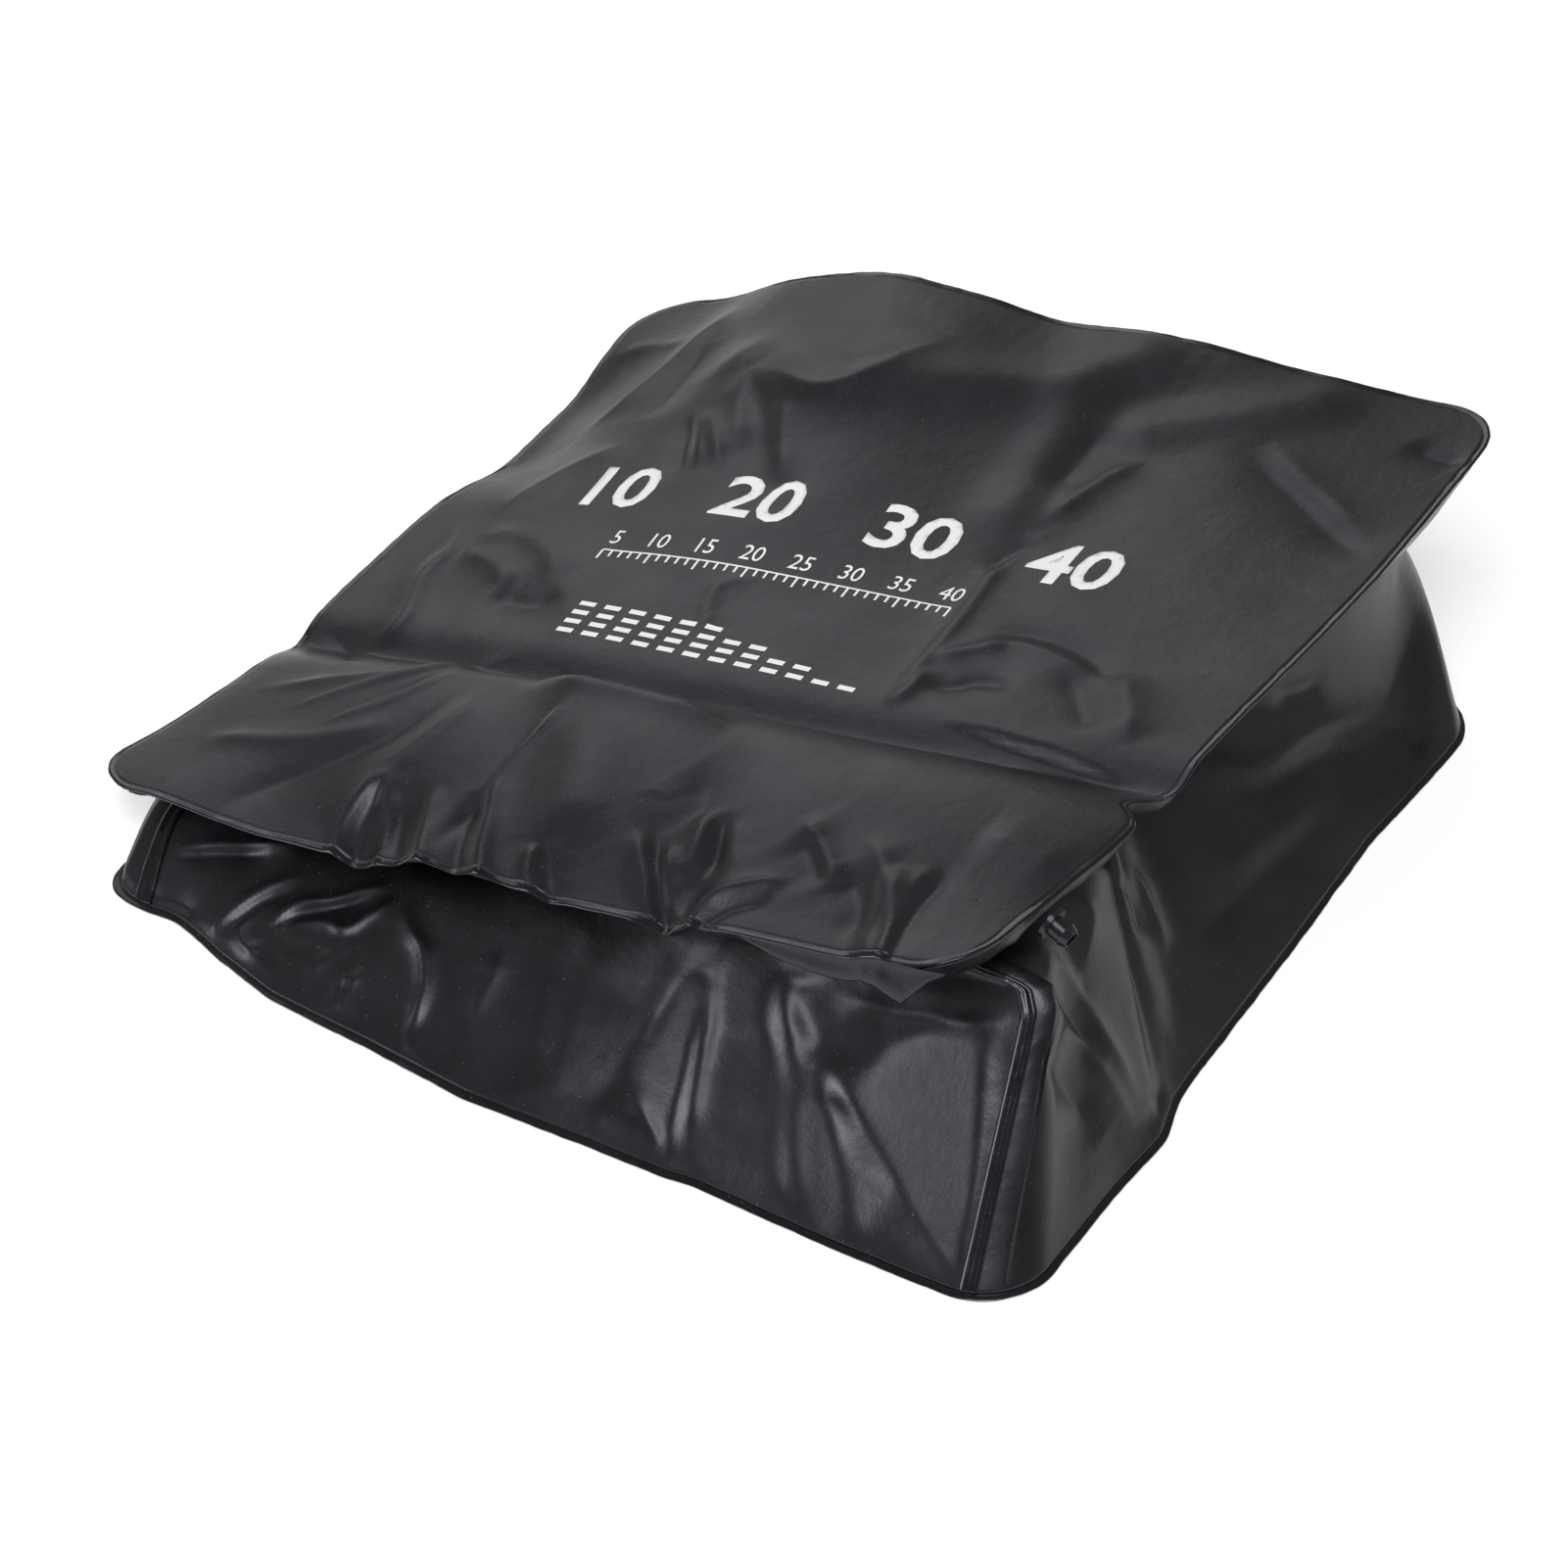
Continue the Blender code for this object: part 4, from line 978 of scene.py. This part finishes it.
BACK_WRINKLES = (
    (0.0024, 0.0060, ((0.10, 0.05), (0.16, 0.35), (0.18, 0.62))),
    (-0.0022, 0.0070, ((0.15, 0.08), (0.21, 0.30), (0.24, 0.60))),
    (0.0026, 0.0050, ((0.36, 0.22), (0.43, 0.34), (0.52, 0.52))),
    (0.0020, 0.0045, ((0.36, 0.40), (0.45, 0.55), (0.50, 0.70))),
    (-0.0024, 0.0070, ((0.42, 0.06), (0.50, 0.28), (0.60, 0.46))),
    (0.0026, 0.0080, ((0.56, 0.10), (0.62, 0.34), (0.70, 0.60))),
    (0.0020, 0.0045, ((0.66, 0.12), (0.72, 0.36), (0.80, 0.52))),
    (-0.0020, 0.0060, ((0.78, 0.15), (0.82, 0.45), (0.88, 0.60))),
)
LEFT_WRINKLES = (
    (0.0018, 0.0060, ((0.10, 0.30), (0.24, 0.42), (0.40, 0.44))),
    (-0.0018, 0.0060, ((0.30, 0.36), (0.48, 0.52), (0.66, 0.54))),
    (0.0018, 0.0050, ((0.58, 0.40), (0.74, 0.56), (0.90, 0.60))),
)
print("other walls:", [len(lines) for lines in (RIGHT_CREASES, BACK_WRINKLES, LEFT_WRINKLES)])

# %% [markdown]
# ## Facets
# Taut film between two folds is flat. The fold lines are joined into triangles by a constrained
# triangulation, each point takes its height from the triangle that it is seen in, and a few rounds
# of averaging take the knife edge off, because film is too stiff for one.

# %% Facet helpers
TRIANGLES_INSIDE_RIM = 1
FOLD_MERGE_PIXELS = 0.5


def facet_height(seen, lines, rim):
    """Heights of flat facets between fold lines given in pixels and millimetres."""
    nodes, edges = [], []
    for line in lines:
        edges += [(len(nodes) + i, len(nodes) + i + 1) for i in range(len(line) - 1)]
        nodes += line
    edges += [(len(nodes) + i, len(nodes) + (i + 1) % len(rim)) for i in range(len(rim))]
    nodes += [(x, y, 0.0) for x, y in rim]
    corners, _, faces, sources, _, _ = delaunay_2d_cdt(
        [Vector(node[:2]) for node in nodes], edges, [], TRIANGLES_INSIDE_RIM, FOLD_MERGE_PIXELS)
    heights = [nodes[origin[0]][2] if origin else 0.0 for origin in sources]
    total = np.zeros(len(seen))
    for face in faces:
        first, second, third = (np.array(corners[i]) for i in face)
        sides = np.stack([second - first, third - first], axis=1)
        shares = np.linalg.solve(sides, (seen - first).T)
        inside = (shares >= 0.0).all(axis=0) & (shares.sum(axis=0) <= 1.0)
        rises = [heights[i] - heights[face[0]] for i in face[1:]]
        total[inside] = MILLIMETRE * (heights[face[0]] + rises @ shares[:, inside])
    return total


def soften(heights, rounds):
    """Averages each height with its neighbours in the grid, along rows and along columns."""
    for _ in range(rounds):
        for axis, pads in ((0, ((1, 1), (0, 0))), (1, ((0, 0), (1, 1)))):
            padded = np.pad(heights, pads, "edge")
            count = heights.shape[axis]
            before = np.take(padded, range(count), axis)
            after = np.take(padded, range(2, count + 2), axis)
            heights = (before + 2.0 * heights + after) / 4.0
    return heights


def inside_of(seen, polygon):
    """Which pixels lie inside a polygon."""
    inside = np.zeros(seen.shape[:-1], dtype=bool)
    for (x0, y0), (x1, y1) in zip(polygon, polygon[1:] + polygon[:1]):
        if y0 != y1:
            crossed = (seen[..., 1] < y0) != (seen[..., 1] < y1)
            inside ^= crossed & (seen[..., 0] < x0 + (seen[..., 1] - y0) * (x1 - x0) / (y1 - y0))
    return inside


def drawn_flat(grid, mask):
    """A grid whose masked part is drawn onto its own best plane, as taut film is."""
    part = grid[mask > 0.5]
    centre = part.mean(axis=0)
    normal = np.linalg.svd(part - centre, full_matrices=False)[2][2]
    return grid - (((grid - centre) @ normal) * mask)[..., None] * normal


print("folds nearer than", FOLD_MERGE_PIXELS, "pixels are joined")

# %% [markdown]
# ## The walls
# The four walls are cut from the gusset at the welds. They take their creases, a random crumple
# and, on the front wall, the facets. All of that fades to nothing at the two seams, where the
# panels hold the film.

# %% Surface of the walls
SEAM_HOLD_SHARE = 0.07
CRUMPLE_STRETCH = (1.0, 1.0, 0.5)
SOFT_CRUMPLE = ((0.0010, 0.060, 5),)
FINE_CRUMPLE = ((0.00008, 0.010, 7),)
CREST_HEIGHT, CREST_SIZE, CREST_SEED = 0.0004, 0.030, 6
FACING_CAMERA = 0.05
FACET_SOFTENINGS = 5
PLANE_SOFTENINGS = 8
gusset_lines = []


def held_at_seams(grid):
    """From 0 at the seams of a grid's first and last row to 1 a little way in."""
    rows = np.linspace(0.0, 1.0, grid.shape[0])
    return (ease(rows, 0.0, SEAM_HOLD_SHARE) * ease(1.0 - rows, 0.0, SEAM_HOLD_SHARE))[:, None]


def crumple(grid):
    """Random soft crumple of the gusset's film with low crests, the same on every run."""
    stretched = grid * CRUMPLE_STRETCH
    crests = CREST_HEIGHT * (0.5 - abs(smooth_noise(stretched, CREST_SIZE, CREST_SEED)))
    return (crumple_of(stretched, SOFT_CRUMPLE) + crests
            + crumple_of(stretched, FINE_CRUMPLE))


def crumpled(grid, proud=0.0):
    """Gusset film with its creases and crumple, proud of the plain form by a little."""
    lift = (crumple(grid) + crease_height(grid, gusset_lines)) * held_at_seams(grid)
    return grid + grid_normals(grid) * (lift + proud)[..., None]


def faceted(wall, form):
    """The front wall with its facets, which are placed by how its plain form is seen."""
    normals = grid_normals(form)
    below_fold = np.cumprod(normals[2:] @ to_camera > FACING_CAMERA, axis=0).astype(bool)
    below_fold = np.concatenate([below_fold[:1], below_fold[:1], below_fold])
    heights = np.zeros(form.shape[:2])
    heights[below_fold] = facet_height(pixels(form[below_fold]), FRONT_FOLDS, FRONT_RIM)
    heights = soften(heights, FACET_SOFTENINGS) * held_at_seams(form)
    wall = wall + normals * heights[..., None]
    for polygon in FRONT_PLANES:
        inside = inside_of(pixels(form), polygon) & below_fold
        wall = drawn_flat(wall, soften(inside.astype(float), PLANE_SOFTENINGS))
    return wall


print("the seams hold", SEAM_HOLD_SHARE, "of the film's height at each end")

# %% Plain walls
WALL_LEVELS = 151
WALLS = {"front_wall": ("front_left", "front_right"), "right_wall": ("front_right", "back_right"),
         "back_wall": ("back_right", "back_left"), "left_wall": ("back_left", "front_left")}

wall_forms = {}
for name, (start, end) in WALLS.items():
    low, high = WELD_PLACES[start], WELD_PLACES[end]
    flats, places = seam_between(low, high if high > low else high + PLACES)
    wall_forms[name] = gusset_grid(flats, places, WALL_LEVELS)
print("walls, rows by columns:", {name: form.shape[:2] for name, form in wall_forms.items()})

# %% Creases on the walls
for name, creases in (("front_wall", FRONT_CREASES), ("right_wall", RIGHT_CREASES)):
    form = wall_forms[name]
    towards = grid_normals(form).reshape(-1, 3) @ to_camera > FACING_CAMERA
    gusset_lines += lay_creases(form.reshape(-1, 3)[towards], creases)
for name, wrinkles in (("back_wall", BACK_WRINKLES), ("left_wall", LEFT_WRINKLES)):
    form = wall_forms[name]
    for height, width, nodes in wrinkles:
        shares = curve_through(nodes)[:, ::-1] * (np.array(form.shape[:2]) - 1)
        rows, columns = shares.round().astype(int).T
        gusset_lines.append((height, width, form[rows, columns], False))
print("creases on the gusset:", len(gusset_lines))

# %% Walls
walls = {}
for name, form in wall_forms.items():
    wall = crumpled(form)
    if name == "front_wall":
        wall = faceted(wall, form)
    walls[name] = sheet_piece(name + "_film", wall)
    print(name, "from", wall.min(axis=(0, 1)).round(3), "to", wall.max(axis=(0, 1)).round(3))

# %% [markdown]
# ## The bottom panel
# The bottom panel lies flat on the floor, so it is a plain sheet with the outline of the gusset's
# foot.

# %% Bottom panel
BOTTOM_COLUMNS = 121
BOTTOM_ROWS = 111
bottom_grid = bottom_point(*panel_places(BOTTOM_COLUMNS, BOTTOM_ROWS), FILM / 2)
bottom_panel = sheet_piece("bottom_panel_film", bottom_grid)
print("bottom panel:", len(bottom_panel.data.polygons), "faces")

# %% [markdown]
# ## The welded rims
# Each panel is welded to the gusset in a flat rim that stands out round it. The iron pressed the
# rim thin and left a small rolled edge, which glints. A profile swept round the panel's outline
# gives it, with slight random waves at the outer edge, where nothing holds the film. A profile's
# points are an inset from the outer edge and a level in halves of the rim's thickness.

# %% Welded rims
RIM_PROFILE = ((0.0, 0.15), (0.0003, 0.50), (0.0008, 0.72), (0.0014, 0.60), (0.0024, 0.44),
               (0.0034, 0.30), (0.0050, 0.20), (0.0050, -0.50), (0.0038, -0.55), (0.0026, -0.58),
               (0.0014, -0.62), (0.0008, -0.62), (0.0003, -0.45), (0.0, -0.15))
BOTTOM_RIM_PROFILE = ((0.0, 0.10), (0.0003, 0.40), (0.0008, 0.62), (0.0014, 0.80), (0.0020, 1.20),
                      (0.0027, 1.75), (0.0034, 1.95), (0.0050, 1.95), (0.0050, -0.50),
                      (0.0038, -0.55), (0.0026, -0.58), (0.0014, -0.62), (0.0008, -0.60),
                      (0.0003, -0.40), (0.0, -0.10))
RIM_THICKNESS = 0.0014
RIM_STEP = 0.0115
RIM_SPACING = 0.0020
RIM_WAVES_OUT = ((0.00025, 0.012, 0), (0.00025, 0.004, 0))
RIM_WAVES_UP = ((0.00030, 0.016, 5), (0.00020, 0.007, 6))
TOP_RIM_SEED = 71
BOTTOM_RIM_SEED = 83
BOTTOM_RIM_LIFT = 0.0009


def closed_piece(name, grid):
    """Closed ring through a grid whose rows and columns both join up."""
    grid = np.concatenate([grid, grid[:1]])
    grid = np.concatenate([grid, grid[:, :1]], axis=1)
    piece = sheet_piece(name, grid, thickness=0.0, ring=True)
    bpy.context.view_layer.objects.active = piece
    piece.select_set(True)
    bpy.ops.object.mode_set(mode="EDIT")
    bpy.ops.mesh.select_all(action="SELECT")
    bpy.ops.mesh.normals_make_consistent(inside=False)
    bpy.ops.object.mode_set(mode="OBJECT")
    piece.select_set(False)
    return piece


def rim_grid(profile, point, lift, seed):
    """Points of a rim: a row for each point of its profile, a column for each step round."""
    rows = []
    ring_places = np.arange(0.0, PLACES, RIM_STEP)
    for inset, level in profile:
        flats, places = outline(inset, RIM_SPACING)
        turns = np.concatenate([places - PLACES, places, places + PLACES])
        whole = np.concatenate([flats, flats, flats])
        flat = np.stack([np.interp(ring_places, turns, whole[:, k]) for k in (0, 1)], axis=1)
        rows.append(point(*flat.T, lift + level * RIM_THICKNESS / 2))
    grid = np.array(rows)
    outward = (grid[:1] - grid.mean(axis=(0, 1))) * (1.0, 1.0, 0.0)
    outward /= np.linalg.norm(outward, axis=-1, keepdims=True)
    wave = crumple_of(grid[:1], RIM_WAVES_OUT, seed)
    rise = crumple_of(grid[:1], RIM_WAVES_UP, seed)
    share = np.array([1.0 - inset / BEAD_WIDTH for inset, _ in profile])[:, None, None]
    return grid + (outward * wave[..., None] + rise[..., None] * (0.0, 0.0, 1.0)) * share


rim = rim_grid(RIM_PROFILE, top_point, 0.0, TOP_RIM_SEED)
top_rim = closed_piece("top_rim", rim + top_lift(rim)[..., None] * tilt_normal)
rim = rim_grid(BOTTOM_RIM_PROFILE, bottom_point, BOTTOM_RIM_LIFT, BOTTOM_RIM_SEED)
bottom_rim = closed_piece("bottom_rim", rim)
print("rims:", len(top_rim.data.polygons), len(bottom_rim.data.polygons), "faces")

# %% [markdown]
# ## The fold caught in the front seam
# Below the front rim a fold of the gusset's film is caught in the seam and hangs down to a point.
# It is a small curtain: its head follows the seam, its foot runs through the pixels below, and it
# leans inward on the way down.

# %% Fold in the front seam
LIP_PIXELS = ((752, 955), (790, 974), (828, 988), (880, 1004), (924, 1021), (945, 1002), (962, 990))
LIP_COLUMNS = 121
LIP_ROWS = 13
LIP_INSET = 0.0018
LIP_LEAST_DROP = 0.0002
LIP_LEAN = 0.35
LIP_CURL = 2.2

lip_edge = top_point(edge_across, front_line)
lip_shares, lip_drops = edge_gaps(lip_edge, LIP_PIXELS, -MILLIMETRE * np.array((0.0, 0.0, 1.0)))
lip_run = np.linspace(lip_shares[0], lip_shares[-1], LIP_COLUMNS)
lip_drop = np.interp(lip_run, lip_shares, np.clip(lip_drops, LIP_LEAST_DROP, None))[:, None]
lip_line = np.full_like(lip_run, LIP_INSET - PANEL_DEPTH / 2)
lip_head = top_point((lip_run - 0.5) * PANEL_WIDTH, lip_line, -HEAD_DROP)
lip_head = lip_head + top_lift(lip_head)[:, None] * tilt_normal
lip_grid = np.array([lip_head + lip_drop * down * (0.0, -LIP_LEAN * math.sin(LIP_CURL * down), -1.0)
                     for down in np.linspace(0.0, 1.0, LIP_ROWS)])
lip_fold = sheet_piece("front_lip_fold", lip_grid)
print("the fold hangs down", round(float(lip_drop.max() / MILLIMETRE), 1), "mm")

# %% [markdown]
# ## The corner welds
# The gusset's four walls are lapped and welded near the corners. The weld shows as two fine raised
# lines with a pressed band between them, running down every fold. A narrow grid across the weld
# place takes that profile, which is the same on both sides of its middle.

# %% Corner welds
WELD_HALF_PROFILE = np.array(((0.0, 0.0002), (0.0010, 0.0003), (0.0017, 0.0007),
                              (0.0022, 0.0007), (0.0026, 0.0003), (0.0032, 0.0001)))
WELD_PROUD = 0.0003
WELD_THICKNESS = 0.0010
weld_mirrored = WELD_HALF_PROFILE[:0:-1] * (-1.0, 1.0)
weld_offsets, weld_lifts = np.concatenate([weld_mirrored, WELD_HALF_PROFILE]).T
weld_shares = (weld_offsets - weld_offsets[0]) / (weld_offsets[-1] - weld_offsets[0])
weld_reach = weld_offsets[-1] / HALF_WIDTH
corner_welds = {}
for corner, place in WELD_PLACES.items():
    flats, places = seam_between(place - weld_reach, place + weld_reach)
    even = np.linspace(0.0, 1.0, len(places))
    flats = np.stack([np.interp(weld_shares, even, flats[:, k]) for k in (0, 1)], axis=1)
    grid = gusset_grid(flats, np.interp(weld_shares, even, places), 2 * WALL_LEVELS)
    strip = crumpled(grid, WELD_PROUD + weld_lifts[None, :])
    corner_welds[corner] = sheet_piece("weld_strip_" + corner, strip, WELD_THICKNESS)
print("weld strips:", list(corner_welds))

# %% [markdown]
# ## The finishes
# The film is almost black, so what the eye sees of it is its gloss: broad soft light on the matt
# printed panel, sharper light on the walls and glints on the welded rims. Node maths is written
# as Python expressions, through a small class that holds a socket.

# %% A node's output


class Wire:
    """A node's output that can be added to and multiplied."""

    def __init__(self, tree, socket):
        self.tree, self.socket = tree, socket

    def math(self, operation, *others):
        return self.tree.node("ShaderNodeMath", {"operation": operation}, self, *others)

    def __add__(self, other):
        return self.math("ADD", other)

    def __mul__(self, other):
        return self.math("MULTIPLY", other)

    __radd__ = __add__
    __rmul__ = __mul__


print("sums and products of outputs add Math nodes")

# %% A material's nodes
MIX_FIRST_COLOUR, MIX_SECOND_COLOUR, MIX_RESULT = 6, 7, 2


class Finish:
    """A material's nodes, with one method that adds any of them."""

    def __init__(self, name):
        self.material = bpy.data.materials.new(name)
        self.material.use_nodes = True
        self.nodes = self.material.node_tree.nodes
        self.links = self.material.node_tree.links
        self.shader = self.nodes["Principled BSDF"]
        self.place = self.node("ShaderNodeTexCoord", {}, output="Object")

    def join(self, socket, value):
        if isinstance(value, Wire):
            self.links.new(value.socket, socket)
        else:
            socket.default_value = value

    def node(self, kind, settings, *inputs, output=0, **named):
        made = self.nodes.new(kind)
        for key, value in settings.items():
            setattr(made, key, value)
        for socket, value in zip(made.inputs, inputs):
            self.join(socket, value)
        for key, value in named.items():
            self.join(made.inputs[key.replace("_", " ")], value)
        return Wire(self, made.outputs[output])

    def spots(self, size, detail=2.0, roughness=0.5):
        """Noise whose patches are about size metres across."""
        return self.node("ShaderNodeTexNoise", {}, Vector=self.place, Scale=1.0 / size,
                         Detail=detail, Roughness=roughness)

    def spread(self, value, low, high, to_low=0.0, to_high=1.0):
        """A value stretched from one span to another and held inside it."""
        return self.node("ShaderNodeMapRange", {}, value, low, high, to_low, to_high)

    def blend_colours(self, share, first, second):
        made = self.nodes.new("ShaderNodeMix")
        made.data_type = "RGBA"
        self.join(made.inputs[0], share)
        self.join(made.inputs[MIX_FIRST_COLOUR], first)
        self.join(made.inputs[MIX_SECOND_COLOUR], second)
        return Wire(self, made.outputs[MIX_RESULT])

    def bump(self, height, distance):
        return self.node("ShaderNodeBump", {}, Strength=1.0, Distance=distance, Height=height)

    def finish(self, **sockets):
        for key, value in sockets.items():
            self.join(self.shader.inputs[key.replace("_", " ")], value)
        return self.material


def dress(piece, finish):
    """Gives a piece its one finish."""
    piece.data.materials.clear()
    piece.data.materials.append(finish)


print("a mix takes its colours in sockets", MIX_FIRST_COLOUR, "and", MIX_SECOND_COLOUR)

# %% [markdown]
# ## Film, moulded plastic and rubber
# All black parts share one recipe with other numbers: gloss that varies in soft clouds, a fine
# grain with a longer ripple in a bump, and a few pale specks of dust. A slight violet tint of the
# reflections is what the film shows under white light.

# %% Film finishes
VIOLET = (0.93, 0.885, 1.0, 1.0)
DUST_COLOUR = (0.30, 0.29, 0.28, 1.0)
DUST_SHARE = 0.22
DUST_ROUGHNESS = 0.2
DUST_SIZE, DUST_SPAN = 0.0011, (0.75, 0.775)
CLOUD_SIZE, HAZE_SPAN, GLOSS_SPAN = 0.030, (0.35, 0.70), (0.30, 0.70)
HAZE_GAIN, HAZE_LIFT = 1.4, 0.001
GRAIN_SIZE, GRAIN_HEIGHT = 0.0016, 0.6
RIPPLE_SIZE, RIPPLE_HEIGHT = 0.0060, 2.0
SPECULAR_LEVEL = 0.5


def film_finish(name, colour, roughness, uneven, grain):
    """Black plastic film: uneven gloss, fine grain and a few specks of dust."""
    film = Finish(name)
    cloud = film.spots(CLOUD_SIZE, 4.0, 0.6)
    fine = film.spots(GRAIN_SIZE, 2.0)
    dust = film.spread(film.spots(DUST_SIZE, 1.0), *DUST_SPAN)
    haze = film.spread(cloud, *HAZE_SPAN)
    lighter = tuple(min(1.0, c * HAZE_GAIN + HAZE_LIFT) for c in colour)
    tone = film.blend_colours(haze, (*colour, 1.0), (*lighter, 1.0))
    tone = film.blend_colours(dust * DUST_SHARE, tone, DUST_COLOUR)
    gloss = film.spread(cloud, *GLOSS_SPAN, roughness - uneven, roughness + uneven)
    gloss = gloss + dust * DUST_ROUGHNESS
    height = fine * GRAIN_HEIGHT + film.spots(RIPPLE_SIZE, 3.0) * RIPPLE_HEIGHT
    return film.finish(Base_Color=tone, Roughness=gloss, Normal=film.bump(height, grain),
                       Specular_IOR_Level=SPECULAR_LEVEL, Specular_Tint=VIOLET)


top_finish = film_finish("printed_panel_film", (0.0065, 0.0058, 0.0072), 0.40, 0.05, 0.00010)
wall_finish = film_finish("gusset_film", (0.0042, 0.0038, 0.0048), 0.34, 0.04, 0.00006)
weld_finish = film_finish("welded_film", (0.0042, 0.0038, 0.0048), 0.18, 0.04, 0.00004)
moulded_finish = film_finish("moulded_plastic", (0.0055, 0.0052, 0.0058), 0.26, 0.03, 0.00003)
rubber_finish = film_finish("gasket_rubber", (0.030, 0.030, 0.030), 0.70, 0.05, 0.00006)
print("film finishes:", len(bpy.data.materials), "materials in the file")

# %% [markdown]
# ## Ink
# Screen ink lies on the film in a thin matt layer that has rubbed a little grey in small spots.

# %% Ink finish
INK_WHITE = (0.88, 0.88, 0.88, 1.0)
INK_WORN = (0.66, 0.66, 0.66, 1.0)
WORN_SIZE, WORN_SPAN = 0.0011, (0.60, 0.72)
INK_CLOUD_SIZE, INK_CLOUD_SPAN, INK_ROUGHNESS = 0.01, (0.3, 0.7), (0.45, 0.60)

ink = Finish("white_print")
worn = ink.spread(ink.spots(WORN_SIZE, 3.0, 0.7), *WORN_SPAN)
ink_finish = ink.finish(
    Base_Color=ink.blend_colours(worn, INK_WHITE, INK_WORN),
    Roughness=ink.spread(ink.spots(INK_CLOUD_SIZE, 3.0), *INK_CLOUD_SPAN, *INK_ROUGHNESS))
for piece in prints:
    dress(piece, ink_finish)
print("printed pieces:", len(prints))

# %% Finishes on the pieces
for piece, finish in ((top_panel, top_finish), (bottom_panel, wall_finish), (top_rim, weld_finish),
                      (bottom_rim, weld_finish), (lip_fold, wall_finish),
                      *((wall, wall_finish) for wall in walls.values()),
                      *((strip, weld_finish) for strip in corner_welds.values())):
    dress(piece, finish)
for node, finish in (("filler_neck", moulded_finish), ("filler_cap", moulded_finish),
                     ("outlet_spigot", moulded_finish), ("filler_gasket", rubber_finish)):
    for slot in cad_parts[node].material_slots:
        slot.link = "OBJECT"
        slot.material = finish
print("finishes:", [finish.name for finish in bpy.data.materials if finish.users][:12])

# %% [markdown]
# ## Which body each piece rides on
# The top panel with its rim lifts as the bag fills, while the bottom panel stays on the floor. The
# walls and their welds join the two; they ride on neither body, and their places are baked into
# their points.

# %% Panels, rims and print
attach(bottom_panel, "base")
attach(bottom_rim, "base")
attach(top_panel, "top")
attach(top_rim, "top")
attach(lip_fold, "top")
for piece in prints:
    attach(piece, "top")
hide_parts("bottom_panel")
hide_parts("bottom_weld_bead")
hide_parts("top_panel")
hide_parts("top_weld_bead")
print("printed pieces that ride with the top panel:", len(prints))

# %% Walls and welds
for name, wall in walls.items():
    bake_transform(wall)
    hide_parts(name)
for corner, strip in corner_welds.items():
    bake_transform(strip)
    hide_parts("corner_weld_" + corner)
print("pieces that bend:", len(walls) + len(corner_welds))

# %% [markdown]
# ## The floor
# A white floor shows as plain white to the camera and in reflections, and is a pale matt surface to
# everything else, so that it keeps the bag's shadow.

# %% Floor
FLOOR_SIZE = 40.0
FLOOR_DROP = 0.0002
FLOOR_GREY = (0.80, 0.80, 0.80, 1.0)
FLOOR_GLOW = 0.45

bpy.ops.mesh.primitive_plane_add(size=FLOOR_SIZE, location=(0.0, 0.0, -FLOOR_DROP))
floor = bpy.context.object
floor.name = "studio_floor"
floor.select_set(False)
ground = Finish("studio_white")
rays = ground.nodes.new("ShaderNodeLightPath")
seen = Wire(ground, rays.outputs["Is Camera Ray"])
for kind in ("Is Glossy Ray", "Is Transmission Ray"):
    seen = seen.math("MAXIMUM", Wire(ground, rays.outputs[kind]))
ground.finish(Base_Color=FLOOR_GREY, Roughness=0.9, Specular_IOR_Level=0.1,
              Emission_Color=(1.0, 1.0, 1.0, 1.0), Emission_Strength=seen * FLOOR_GLOW)
floor.data.materials.append(ground.material)
print("floor of", FLOOR_SIZE, "m")

# %% [markdown]
# ## Studio light
# Black film shows only what it mirrors. Soft lamps low behind the bag and beside it draw the broad
# highlights on its slopes, and a larger one over the camera lifts the plain film to dark grey
# without being mirrored towards the camera.

# %% Studio light
SKY_STRENGTH = 0.24
BAG_MIDDLE = (0.0, 0.0, 0.05)

world = bpy.data.worlds.new("studio_world")
bpy.context.scene.world = world
world.use_nodes = True
sky = world.node_tree.nodes["Background"]
sky.inputs["Color"].default_value = (1.0, 1.0, 1.0, 1.0)
sky.inputs["Strength"].default_value = SKY_STRENGTH


def lamp(name, place, width, height, power):
    """Soft lamp of a given width and height that looks at the bag."""
    bpy.ops.object.light_add(type="AREA", location=place)
    light = bpy.context.object
    light.name = name
    light.rotation_euler = (Vector(place) - Vector(BAG_MIDDLE)).to_track_quat("Z", "Y").to_euler()
    light.data.shape = "RECTANGLE"
    light.data.size = width
    light.data.size_y = height
    light.data.energy = power
    light.select_set(False)


lamp("softbox_back_left", (-1.64, 1.68, 1.18), 1.25, 1.0, 5.6)
lamp("softbox_above", (-1.66, 0.80, 1.85), 1.0, 1.2, 4.2)
lamp("softbox_front_left", (-1.54, -1.44, 0.90), 1.25, 0.6, 14.5)
lamp("softbox_right", (1.9, 1.0, 1.2), 1.6, 1.6, 2.2)
lamp("softbox_over_camera", (0.75, -1.35, 2.65), 1.4, 1.4, 56.0)
bpy.context.scene.view_settings.view_transform = "Standard"
